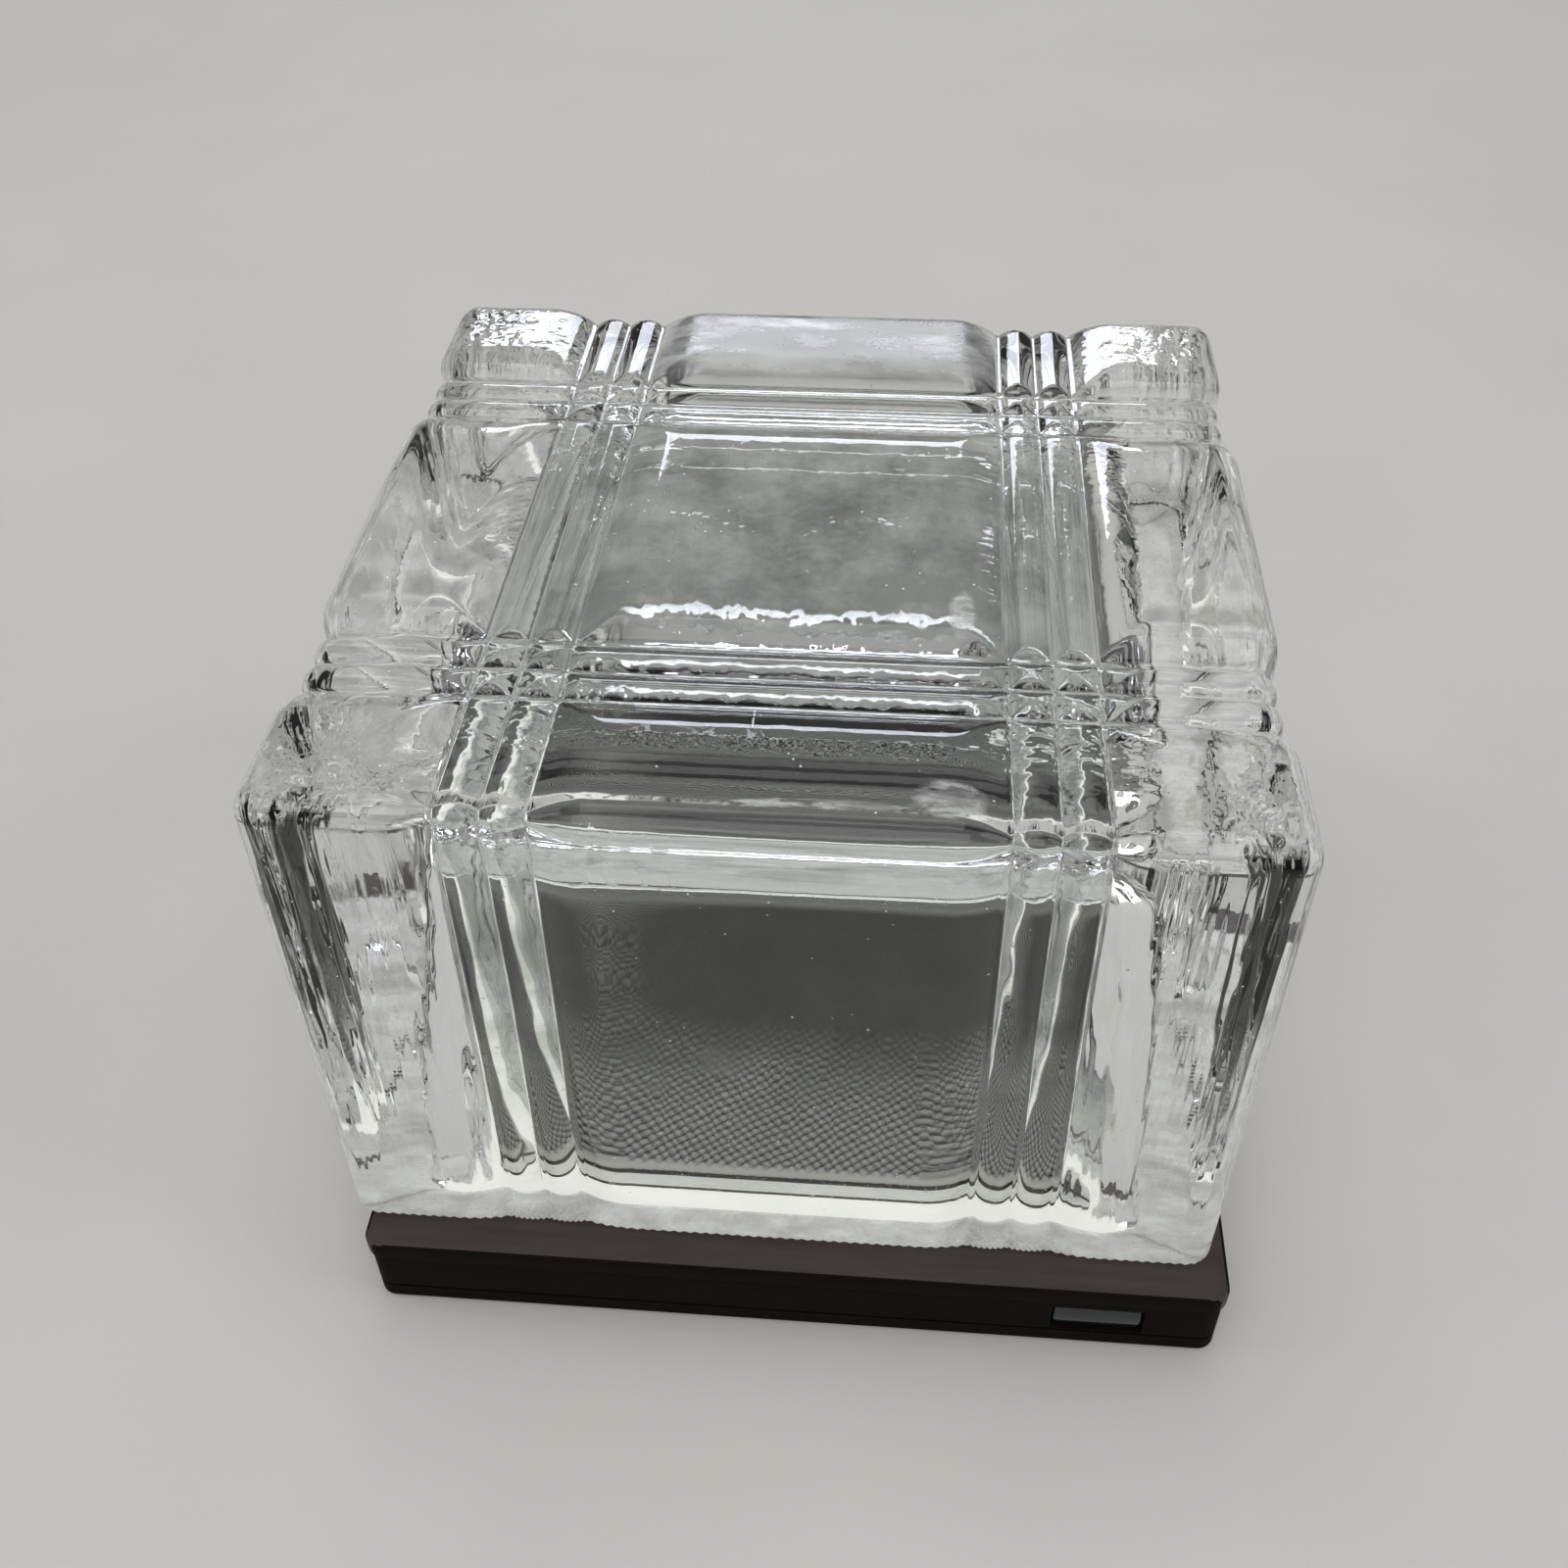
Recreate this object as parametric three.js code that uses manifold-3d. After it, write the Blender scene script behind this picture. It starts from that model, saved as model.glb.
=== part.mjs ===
// A small clear display cube on a slim lit base.
//
// The cube is a heavy moulded cover, open below, with a pair of reeded bands that run over
// the top and down all four sides. It drops over a low plinth with a woven pad, on which the
// exhibit stands. The base holds eight light-emitting diodes under an opal ring, two coin
// cells behind a sliding door, and a push switch with its button in the front wall.
//
// Millimetres, +Z up, +X to the right of the button, -Y to the front.
// The origin is on the table, below the middle of the whole object.

import * as THREE from 'three';
import { mergeVertices } from 'three/addons/utils/BufferGeometryUtils.js';
import Module from 'manifold-3d';

const wasm = await Module();
wasm.setup();

// ---- Driving dimensions ----------------------------------------------------------------

const GAP = 0.15; // between pieces that touch on the real object

// The clear cube
const CUBE_SIDE = 76.2;
const CUBE_HEIGHT = 50.4;
const CUBE_EDGE = 2.4; // radius of its outer edges
const WALL_AT_RIM = 6.5;
const WALL_AT_TOP = 8.8; // the cavity narrows upwards, so that it leaves the mould
const TOP_THICKNESS = 8.6;
const CAVITY_CORNER = 4;
const MOUTH_ROUNDING = 1.2; // of the rim's inner edge
const CUBE_OFFSET = 1.45; // how far the loose cube stands to the left of the base's middle

// The reeded bands: two rounded reeds between three valleys, on each side of the middle
const VALLEYS = [16.9, 20.3, 23.7];
const VALLEY_DEPTH = 1.5;
const REED_DEPTH = 0.85; // the crest of a reed below the face
const ROLL_WIDTH = 4.6; // over which a face rolls down into the first valley
const BAND_FADE = 1.6; // over which the bands flatten out towards the rim
const BAND_AT_RIM = 0.3; // of their full depth

// The base
const BASE_WIDTH = 76;
const BASE_DEPTH = 82.7;
const BASE_CORNER = 1.8;
const FOOT_PROUD = 0.3;
const COVER_THICKNESS = 1.5;
const BODY_HEIGHT = 4.6;
const DECK_THICKNESS = 2;
const OVERHANG = 0.25; // of the deck over the body
const BODY_WALL = 2;
const BODY_INNER_CORNER = 1.5;
const PLINTH_SIDE = 57.6;
const PLINTH_HEIGHT = 1;
const PLINTH_CORNER = 3;
const PAD_SIDE = 56.6;
const PAD_THICKNESS = 1;
const PAD_CORNER = 2;

// The opal ring and what lights it
const RING_INNER = 58.6;
const RING_OUTER = 70.4;
const RING_THICKNESS = 1.1;
const RING_CORNERS = [3.4, 1.6]; // of its outer and inner outlines
const GROOVE_CORNERS = [3.6, 1.4];
const RING_BELOW_DECK = 0.05;
const LED_SIZE = [2, 1.25, 0.8];
const LENS_RADIUS = 0.5;
const LENS_PROUD = 0.1;
const LED_LINE = 32.9; // from the base's middle to each row of diodes
const LED_SPREAD = 15; // of the two diodes on a side, either way from its middle
const LIGHT_HOLE = 1.3;
const BOARD_SIDE = 67.6;
const BOARD_OPENING = 59;
const BOARD_THICKNESS = 0.8;
const BOARD_CORNER = 1;
const BOARD_ABOVE_COVER = 2.2;
const SOLDER = 0.1; // the height of a joint, between the board and what is on it
const RESISTOR_SIZE = [2, 1.2, 0.5];
const RESISTOR_X = -6;
const POST_RADIUS = 1.4; // of the posts that carry the board
const POST_X = 27;

// The coin cells, their holder and their door
const CELL_RADIUS = 10;
const CELL_THICKNESS = 3.2;
const CELL_X = 10.8;
const CELL_Y = 16;
const POCKET_CLEARANCE = 0.3;
const HOLDER_SIZE = [43.6, 22.8];
const HOLDER_ROOF = 0.35;
const HOLDER_GAP = 0.1; // between a cell and what it rests on or presses against
const CELL_CAP_HEIGHT = 0.7;
const CELL_CAP_INSET = 1.6;
const CELL_BEVEL = 0.3;
const CONTACT_SIZE = [5, 17, 0.2];
const DIMPLE_RADIUS = 1.2;
const DOOR_FRONT = 3;
const DOOR_HALF_WIDTH = 21;
const DOOR_TONGUE = 1; // how far the door's upper half reaches over the ledge, each side
const BRIDGE_SIZE = [29.6, 7, 0.25];
const BRIDGE_CORNER = 2;
const BRIDGE_SINK = 0.3; // its underside below the cover's top
const BED_SINK = 0.4;
const FINGER_GROOVE = [16, 0.8, 0.5];
const FINGER_GROOVES = 5;
const FINGER_PITCH = 1.6;
const FINGER_SETBACK = 4;

// The button and its switch
const BUTTON_X = 27.05; // from the base's middle
const BUTTON_DEPTH = 4.5; // of its middle, below the deck's top
const BUTTON_SIZE = [8, 3.4]; // the window in the wall
const BUTTON_CLEARANCE = 0.2;
const BUTTON_TRAVEL = 1;
const BUTTON_RIDGE = 0.35; // how far the two halves of its face slope back from the middle
const BUTTON_INSET = 0.1; // of its ridge behind the wall's face
const BUTTON_REACH = 0.6; // behind the wall
const FLANGE_THICKNESS = 0.5;
const FLANGE_SPREAD = 0.4;
const SWITCH_SIZE = [6.4, 2.7, 3];
const PLUNGER_SIZE = [2.8, 1.4];
const PLUNGER_CLEARANCE = 0.4; // across its pocket
const PLUNGER_HELD = 0.8; // in the housing, when the button is out
const POCKET_SPARE = 0.5; // depth beyond the plunger's travel

// Screws and feet
const SCREW_X = 33.2;
const SCREW_Y = 36.6;
const SCREW_SHANK = 0.8;
const SCREW_HEAD = 1.45;
const SCREW_HEAD_HEIGHT = 0.6;
const SCREW_HEAD_BEVEL = [0.3, 0.2];
const SCREW_POINT = [0.4, 0.5];
const SCREW_BITE = 1; // into the deck
const CROSS_SLOT = [1.8, 0.4, 0.6];
const BOSS_RADIUS = 1.8;
const WEB_SIZE = 3;
const FOOT_RADIUS = 4;
const FOOT_X = 28;
const FOOT_Y = 29;
const FOOT_THICKNESS = 1.1;
const FOOT_BEVEL = 0.4;

// ---- Levels and places that follow from them --------------------------------------------

const COVER_BOTTOM = FOOT_PROUD;
const COVER_TOP = COVER_BOTTOM + COVER_THICKNESS;
const BODY_TOP = COVER_TOP + BODY_HEIGHT;
const DECK_TOP = BODY_TOP + DECK_THICKNESS;
const PLINTH_TOP = DECK_TOP + PLINTH_HEIGHT;
const CELL_BOTTOM = COVER_TOP + 2 * HOLDER_GAP;
const BOARD_BOTTOM = COVER_TOP + BOARD_ABOVE_COVER;
const BOARD_MIDLINE = (BOARD_SIDE + BOARD_OPENING) / 4;
const PARTS_BOTTOM = BOARD_BOTTOM + BOARD_THICKNESS + SOLDER;
const BUTTON_Z = DECK_TOP - BUTTON_DEPTH;
const BODY_FRONT = -BASE_DEPTH / 2 + OVERHANG;
const BUTTON_BACK = BODY_FRONT + BODY_WALL + BUTTON_REACH;
const SWITCH_FRONT = BUTTON_BACK + BUTTON_TRAVEL + 2 * GAP;
const PAST = 1; // how far a cutter runs past what it cuts
const BASE_X = (CUBE_SIDE / 2 - BASE_WIDTH / 2 + CUBE_OFFSET) / 2;
const CUBE_X = BASE_X - CUBE_OFFSET;

// ---- Solids -----------------------------------------------------------------------------

// A closed three.js geometry as a solid that can be joined and cut
function solidOf(geometry) {
  geometry.deleteAttribute('normal');
  geometry.deleteAttribute('uv');
  const merged = mergeVertices(geometry, 1e-4);
  return new wasm.Manifold(new wasm.Mesh({
    numProp: 3,
    vertProperties: new Float32Array(merged.attributes.position.array),
    triVerts: new Uint32Array(merged.index.array),
  }));
}

function geometryOf(solid) {
  const mesh = solid.getMesh();
  const geometry = new THREE.BufferGeometry();
  geometry.setAttribute('position', new THREE.BufferAttribute(mesh.vertProperties, 3));
  geometry.setIndex(new THREE.BufferAttribute(mesh.triVerts, 1));
  geometry.computeVertexNormals();
  return geometry;
}

function join(...geometries) {
  return geometryOf(geometries.map(solidOf).reduce((whole, next) => whole.add(next)));
}

function cut(geometry, ...cutters) {
  return geometryOf(cutters.map(solidOf).reduce((rest, next) => rest.subtract(next), solidOf(geometry)));
}

// The outline of a rectangle with rounded corners, about its own middle
function roundedOutline(width, depth, radius, Kind = THREE.Shape) {
  const x = width / 2 - radius;
  const y = depth / 2 - radius;
  const outline = new Kind();
  outline.moveTo(-x, -y - radius);
  outline.absarc(x, -y, radius, -Math.PI / 2, 0);
  outline.absarc(x, y, radius, 0, Math.PI / 2);
  outline.absarc(-x, y, radius, Math.PI / 2, Math.PI);
  outline.absarc(-x, -y, radius, Math.PI, Math.PI * 1.5);
  return outline;
}

function extrude(shape, low, high, curveSegments = 4) {
  const options = { depth: high - low, bevelEnabled: false, curveSegments };
  return new THREE.ExtrudeGeometry(shape, options).translate(0, 0, low);
}

function plate(width, depth, radius, low, high) {
  return extrude(roundedOutline(width, depth, radius), low, high);
}

function ring(outer, inner, outerRadius, innerRadius, low, high) {
  const shape = roundedOutline(outer[0], outer[1], outerRadius);
  shape.holes.push(roundedOutline(inner[0], inner[1], innerRadius, THREE.Path));
  return extrude(shape, low, high);
}

function block(x, y, z, width, depth, height) {
  return new THREE.BoxGeometry(width, depth, height).translate(x, y, z);
}

function disc(x, y, radius, low, high, segments = 24) {
  const geometry = new THREE.CylinderGeometry(radius, radius, high - low, segments);
  return geometry.rotateX(Math.PI / 2).translate(x, y, (low + high) / 2);
}

// The four corners of a rectangle, as signs, with a name for each
const CORNERS = [
  { name: 'front_left', x: -1, y: -1 },
  { name: 'front_right', x: 1, y: -1 },
  { name: 'back_left', x: -1, y: 1 },
  { name: 'back_right', x: 1, y: 1 },
];

// ---- The clear cube ---------------------------------------------------------------------

// How deep the moulded bands lie below the face, at a distance from its middle
function bandDepth(distance) {
  const x = Math.abs(distance);
  const [inner, middle, outer] = VALLEYS;
  const crown = VALLEY_DEPTH - REED_DEPTH;
  for (const [from, to] of [[inner, middle], [middle, outer]]) {
    if (x >= from && x <= to) {
      const half = (to - from) / 2;
      const radius = (half * half + crown * crown) / (2 * crown);
      const off = x - (from + to) / 2;
      return VALLEY_DEPTH - (Math.sqrt(radius * radius - off * off) - (radius - crown));
    }
  }
  const away = x < inner ? inner - x : x - outer;
  if (away >= ROLL_WIDTH) return 0;
  const radius = (ROLL_WIDTH ** 2 + VALLEY_DEPTH ** 2) / (2 * VALLEY_DEPTH);
  return radius - Math.sqrt(radius * radius - (ROLL_WIDTH - away) ** 2);
}

function steps(from, to, count) {
  return Array.from({ length: count + 1 }, (_, i) => from + (to - from) * i / count);
}

// The lines of a face's grid: on the rounded edges, and on the bands where it has them
function gridLines(half, edge, banded) {
  const lines = steps(0, Math.PI / 2, 2).map((angle) => half - edge + edge * Math.sin(angle));
  lines.push(0);
  if (banded) {
    const [inner, middle, outer] = VALLEYS;
    lines.push(...steps(inner - ROLL_WIDTH, inner, 2));
    lines.push(...steps(inner, middle, 4));
    lines.push(...steps(middle, outer, 4));
    lines.push(...steps(outer, outer + ROLL_WIDTH, 2));
  }
  const positive = [...new Set(lines.map((value) => Number(value.toFixed(5))))].sort((a, b) => a - b);
  return [...positive.filter((value) => value > 0).map((value) => -value).reverse(), ...positive];
}

// A block with rounded edges, its surface pressed in along the bands. Its lower edges are
// rounded under the rim's level, so that the rim can be cut square.
function reededBlock() {
  const half = CUBE_SIDE / 2;
  const halfHeight = (CUBE_HEIGHT + CUBE_EDGE) / 2;
  const across = gridLines(half, CUBE_EDGE, true);
  const rim = CUBE_EDGE - halfHeight;
  const up = [...gridLines(halfHeight, CUBE_EDGE, false), rim + BAND_FADE].sort((a, b) => a - b);
  const positions = [];
  const index = [];
  const known = new Map();

  const vertex = (point) => {
    const key = point.toArray().map((value) => value.toFixed(4)).join();
    if (known.has(key)) return known.get(key);
    const inside = new THREE.Vector3(half - CUBE_EDGE, half - CUBE_EDGE, halfHeight - CUBE_EDGE);
    const core = point.clone().clamp(inside.clone().negate(), inside);
    const normal = point.clone().sub(core).normalize();
    const surface = core.addScaledVector(normal, CUBE_EDGE);
    const share = THREE.MathUtils.clamp((point.z - rim) / BAND_FADE, 0, 1);
    const depth = Math.max(bandDepth(point.x), bandDepth(point.y));
    surface.addScaledVector(normal, -depth * (BAND_AT_RIM + (1 - BAND_AT_RIM) * share));
    known.set(key, positions.length / 3);
    positions.push(surface.x, surface.y, surface.z + halfHeight - CUBE_EDGE);
    return known.get(key);
  };

  const face = (first, second, place) => {
    for (let i = 0; i < first.length - 1; i += 1) {
      for (let j = 0; j < second.length - 1; j += 1) {
        const a = vertex(place(first[i], second[j]));
        const b = vertex(place(first[i + 1], second[j]));
        const c = vertex(place(first[i + 1], second[j + 1]));
        const d = vertex(place(first[i], second[j + 1]));
        index.push(a, b, c, a, c, d);
      }
    }
  };

  face(across, across, (a, b) => new THREE.Vector3(a, b, halfHeight));
  face(across, across, (a, b) => new THREE.Vector3(b, a, -halfHeight));
  face(across, up, (a, b) => new THREE.Vector3(half, a, b));
  face(up, across, (a, b) => new THREE.Vector3(-half, b, a));
  face(up, across, (a, b) => new THREE.Vector3(b, half, a));
  face(across, up, (a, b) => new THREE.Vector3(a, -half, b));

  const geometry = new THREE.BufferGeometry();
  geometry.setAttribute('position', new THREE.Float32BufferAttribute(positions, 3));
  geometry.setIndex(index);
  return geometry;
}

// The space inside: widest at the open rim, with a rounded ceiling
function cavity() {
  const ceiling = CUBE_HEIGHT - TOP_THICKNESS;
  const widest = CUBE_SIDE / 2 - WALL_AT_RIM;
  const narrowest = CUBE_SIDE / 2 - WALL_AT_TOP;
  const slope = (widest - narrowest) / ceiling;
  const levels = [
    { z: -PAST, half: widest + MOUTH_ROUNDING },
    { z: 0, half: widest + MOUTH_ROUNDING },
    { z: MOUTH_ROUNDING * 0.3, half: widest + MOUTH_ROUNDING * 0.3 },
    { z: MOUTH_ROUNDING, half: widest - slope * MOUTH_ROUNDING },
  ];
  for (const angle of steps(0, Math.PI / 2, 3)) {
    const z = ceiling - CAVITY_CORNER * (1 - Math.sin(angle));
    levels.push({ z, half: widest - slope * z - CAVITY_CORNER * (1 - Math.cos(angle)) });
  }
  const corner = 6; // points on each rounded corner
  const positions = [];
  const index = [];
  for (const { z, half } of levels) {
    const core = Math.min(half, widest - CAVITY_CORNER - slope * z);
    const bend = Math.max(half - core, 0.5);
    for (let side = 0; side < 4; side += 1) {
      const diagonal = (side + 0.5) * Math.PI / 2;
      const x = Math.sign(Math.cos(diagonal)) * (half - bend);
      const y = Math.sign(Math.sin(diagonal)) * (half - bend);
      for (const turn of steps(0, Math.PI / 2, corner - 1)) {
        const angle = side * Math.PI / 2 + turn;
        positions.push(x + bend * Math.cos(angle), y + bend * Math.sin(angle), z);
      }
    }
  }
  const around = 4 * corner;
  for (let level = 0; level < levels.length - 1; level += 1) {
    for (let i = 0; i < around; i += 1) {
      const low = level * around + i;
      const lowNext = level * around + (i + 1) % around;
      index.push(low, lowNext, lowNext + around, low, lowNext + around, low + around);
    }
  }
  const last = (levels.length - 1) * around;
  for (let i = 1; i < around - 1; i += 1) {
    index.push(0, i + 1, i);
    index.push(last, last + i, last + i + 1);
  }
  const geometry = new THREE.BufferGeometry();
  geometry.setAttribute('position', new THREE.Float32BufferAttribute(positions, 3));
  geometry.setIndex(index);
  return geometry;
}

function displayCube() {
  const wide = CUBE_SIDE + PAST;
  const belowRim = block(0, 0, -CUBE_EDGE, wide, wide, 2 * CUBE_EDGE);
  return cut(reededBlock(), cavity(), belowRim).translate(CUBE_X, 0, DECK_TOP + GAP);
}

// ---- The deck, its pad and its opal ring ------------------------------------------------

// The middles of the eight diodes: two on each side of the square
function ledPlaces() {
  const places = [];
  for (const side of [-1, 1]) {
    for (const end of [-1, 1]) {
      places.push({ x: end * LED_SPREAD, y: side * LED_LINE, turned: false });
      places.push({ x: side * LED_LINE, y: end * LED_SPREAD, turned: true });
    }
  }
  return places;
}

function deckPlate() {
  const whole = join(
    plate(BASE_WIDTH, BASE_DEPTH, BASE_CORNER, BODY_TOP + GAP, DECK_TOP),
    plate(PLINTH_SIDE, PLINTH_SIDE, PLINTH_CORNER, DECK_TOP - PLINTH_HEIGHT, PLINTH_TOP),
  );
  const groove = ring(
    [RING_OUTER + 2 * GAP, RING_OUTER + 2 * GAP],
    [RING_INNER - 2 * GAP, RING_INNER - 2 * GAP],
    ...GROOVE_CORNERS, DECK_TOP - RING_THICKNESS - GAP, DECK_TOP + PAST,
  );
  const lightHoles = ledPlaces().map(({ x, y }) => disc(x, y, LIGHT_HOLE, BODY_TOP - PAST, DECK_TOP, 12));
  const pilotTop = BODY_TOP + SCREW_BITE + 2 * GAP;
  const pilots = CORNERS.map(({ x, y }) => (
    disc(x * SCREW_X, y * SCREW_Y, SCREW_SHANK + GAP, BODY_TOP - PAST, pilotTop, 12)));
  return cut(whole, groove, ...lightHoles, ...pilots).translate(BASE_X, 0, 0);
}

function wovenPad() {
  const low = PLINTH_TOP + GAP;
  return plate(PAD_SIDE, PAD_SIDE, PAD_CORNER, low, low + PAD_THICKNESS).translate(BASE_X, 0, 0);
}

function lightRing() {
  const top = DECK_TOP - RING_BELOW_DECK;
  const outer = [RING_OUTER, RING_OUTER];
  const inner = [RING_INNER, RING_INNER];
  return ring(outer, inner, ...RING_CORNERS, top - RING_THICKNESS, top).translate(BASE_X, 0, 0);
}

// ---- The body and the cover under it ----------------------------------------------------

function baseBody() {
  const width = BASE_WIDTH - 2 * OVERHANG;
  const depth = BASE_DEPTH - 2 * OVERHANG;
  const radius = BASE_CORNER - OVERHANG;
  const inside = [width - 2 * BODY_WALL, depth - 2 * BODY_WALL];
  const low = COVER_TOP + GAP;
  const walls = ring([width, depth], inside, radius, BODY_INNER_CORNER, low, BODY_TOP);
  const bosses = CORNERS.map(({ x, y }) => disc(x * SCREW_X, y * SCREW_Y, BOSS_RADIUS, low, BODY_TOP));
  // A web ties each boss to the corner behind it
  const webs = CORNERS.map(({ x, y }) => block(
    x * (SCREW_X + WEB_SIZE / 2), y * (SCREW_Y + WEB_SIZE / 2), (low + BODY_TOP) / 2,
    WEB_SIZE, WEB_SIZE, BODY_TOP - low));
  const sleeves = CORNERS.map(({ x, y }) => (
    disc(x * SCREW_X, y * SCREW_Y, SCREW_SHANK + GAP, low - PAST, BODY_TOP + PAST, 12)));
  const window = block(BUTTON_X, BODY_FRONT, BUTTON_Z, BUTTON_SIZE[0], 3 * BODY_WALL, BUTTON_SIZE[1]);
  return cut(join(walls, ...bosses, ...webs), ...sleeves, window).translate(BASE_X, 0, 0);
}

// The door's slot runs out through the back edge, and is wider in its upper half
function doorShape(extra, front, back, low, high) {
  const middle = (low + high) / 2;
  const depth = back - front;
  const y = (front + back) / 2;
  const width = 2 * (DOOR_HALF_WIDTH + extra);
  const lower = block(0, y, (low + middle) / 2, width, depth, middle - low);
  const tongueLow = middle - extra;
  const upper = block(0, y, (tongueLow + high) / 2, width + 2 * DOOR_TONGUE, depth, high - tongueLow);
  return join(lower, upper);
}

function bottomCover() {
  const width = BASE_WIDTH - 2 * OVERHANG;
  const depth = BASE_DEPTH - 2 * OVERHANG;
  const base = plate(width, depth, BASE_CORNER - OVERHANG, COVER_BOTTOM, COVER_TOP);
  const postTop = BOARD_BOTTOM - GAP;
  const posts = [-1, 1].flatMap((side) => [
    disc(side * BOARD_MIDLINE, 0, POST_RADIUS, COVER_BOTTOM + GAP, postTop, 16),
    disc(side * POST_X, -BOARD_MIDLINE, POST_RADIUS, COVER_BOTTOM + GAP, postTop, 16),
  ]);
  const slot = doorShape(GAP, DOOR_FRONT - GAP, BASE_DEPTH, COVER_BOTTOM - PAST, COVER_TOP + PAST);
  const seats = CORNERS.map(({ x, y }) => (
    disc(x * FOOT_X, y * FOOT_Y, FOOT_RADIUS + GAP, 0, FOOT_THICKNESS + GAP)));
  const screwHoles = CORNERS.flatMap(({ x, y }) => [
    disc(x * SCREW_X, y * SCREW_Y, SCREW_SHANK + GAP, 0, COVER_TOP + PAST, 12),
    disc(x * SCREW_X, y * SCREW_Y, SCREW_HEAD + GAP, 0, COVER_BOTTOM + SCREW_HEAD_HEIGHT + GAP, 16),
  ]);
  return cut(join(base, ...posts), slot, ...seats, ...screwHoles).translate(BASE_X, 0, 0);
}

function batteryDoor() {
  const back = BASE_DEPTH / 2 - OVERHANG;
  const door = doorShape(0, DOOR_FRONT, back, COVER_BOTTOM, COVER_TOP);
  // Finger ridges are left between shallow grooves near the back edge
  const grooves = Array.from({ length: FINGER_GROOVES }, (_, i) => (
    block(0, back - FINGER_SETBACK - FINGER_PITCH * i, COVER_BOTTOM, ...FINGER_GROOVE)));
  const [width, depth] = BRIDGE_SIZE;
  const bed = plate(
    width + 2 * GAP, depth + 2 * GAP, BRIDGE_CORNER, COVER_TOP - BED_SINK, COVER_TOP + PAST);
  return cut(door, ...grooves, bed.translate(0, CELL_Y, 0)).translate(BASE_X, 0, 0);
}

// ---- The cells and what connects them ---------------------------------------------------

const CELLS = [{ name: 'left', side: -1 }, { name: 'right', side: 1 }];

function cellHolder() {
  const low = CELL_BOTTOM - HOLDER_GAP;
  const high = BODY_TOP - GAP;
  const body = block(0, CELL_Y, (low + high) / 2, HOLDER_SIZE[0], HOLDER_SIZE[1], high - low);
  const pockets = CELLS.map(({ side }) => (
    disc(side * CELL_X, CELL_Y, CELL_RADIUS + POCKET_CLEARANCE, low - PAST, high - HOLDER_ROOF, 40)));
  return cut(body, ...pockets).translate(BASE_X, 0, 0);
}

// A button cell: a can with a smaller cap on its lower face
function coinCell(side) {
  const capRadius = CELL_RADIUS - CELL_CAP_INSET;
  const flat = CELL_RADIUS - CELL_BEVEL;
  const profile = [
    [0, 0], [capRadius, 0], [capRadius, CELL_CAP_HEIGHT], [flat, CELL_CAP_HEIGHT],
    [CELL_RADIUS, CELL_CAP_HEIGHT + CELL_BEVEL], [CELL_RADIUS, CELL_THICKNESS - CELL_BEVEL],
    [flat, CELL_THICKNESS], [0, CELL_THICKNESS],
  ].map(([x, y]) => new THREE.Vector2(x, y));
  const cell = new THREE.LatheGeometry(profile, 40).rotateX(Math.PI / 2);
  return cell.translate(BASE_X + side * CELL_X, CELL_Y, CELL_BOTTOM);
}

// A sprung strip above each cell, with a dimple that presses on it
function cellContact(side) {
  const low = CELL_BOTTOM + CELL_THICKNESS + HOLDER_GAP;
  const thickness = CONTACT_SIZE[2];
  const strip = block(side * CELL_X, CELL_Y, low + thickness / 2, ...CONTACT_SIZE);
  const dimple = disc(side * CELL_X, CELL_Y, DIMPLE_RADIUS, low - HOLDER_GAP / 2, low + thickness, 12);
  return join(strip, dimple).translate(BASE_X, 0, 0);
}

// The plate let into the door, which joins the two cells
function bridgePlate() {
  const low = COVER_TOP - BRIDGE_SINK;
  const [width, depth, thickness] = BRIDGE_SIZE;
  const sheet = plate(width, depth, BRIDGE_CORNER, low, low + thickness);
  return sheet.translate(BASE_X, CELL_Y, 0);
}

// ---- The board and what is on it --------------------------------------------------------

function ledBoard() {
  const outer = [BOARD_SIDE, BOARD_SIDE];
  const inner = [BOARD_OPENING, BOARD_OPENING];
  const high = BOARD_BOTTOM + BOARD_THICKNESS;
  return ring(outer, inner, BOARD_CORNER, BOARD_CORNER, BOARD_BOTTOM, high).translate(BASE_X, 0, 0);
}

// A diode: a white package with a shallow round lens
function led({ x, y, turned }) {
  const height = LED_SIZE[2];
  const top = PARTS_BOTTOM + height;
  const housing = block(0, 0, PARTS_BOTTOM + height / 2, ...LED_SIZE);
  const lens = disc(0, 0, LENS_RADIUS, top - LENS_PROUD, top + LENS_PROUD, 16);
  const whole = join(housing, lens);
  if (turned) whole.rotateZ(Math.PI / 2);
  return whole.translate(BASE_X + x, y, 0);
}

function resistor() {
  const z = PARTS_BOTTOM + RESISTOR_SIZE[2] / 2;
  return block(BASE_X + RESISTOR_X, -BOARD_MIDLINE, z, ...RESISTOR_SIZE);
}

// ---- The button and its switch ----------------------------------------------------------

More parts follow.
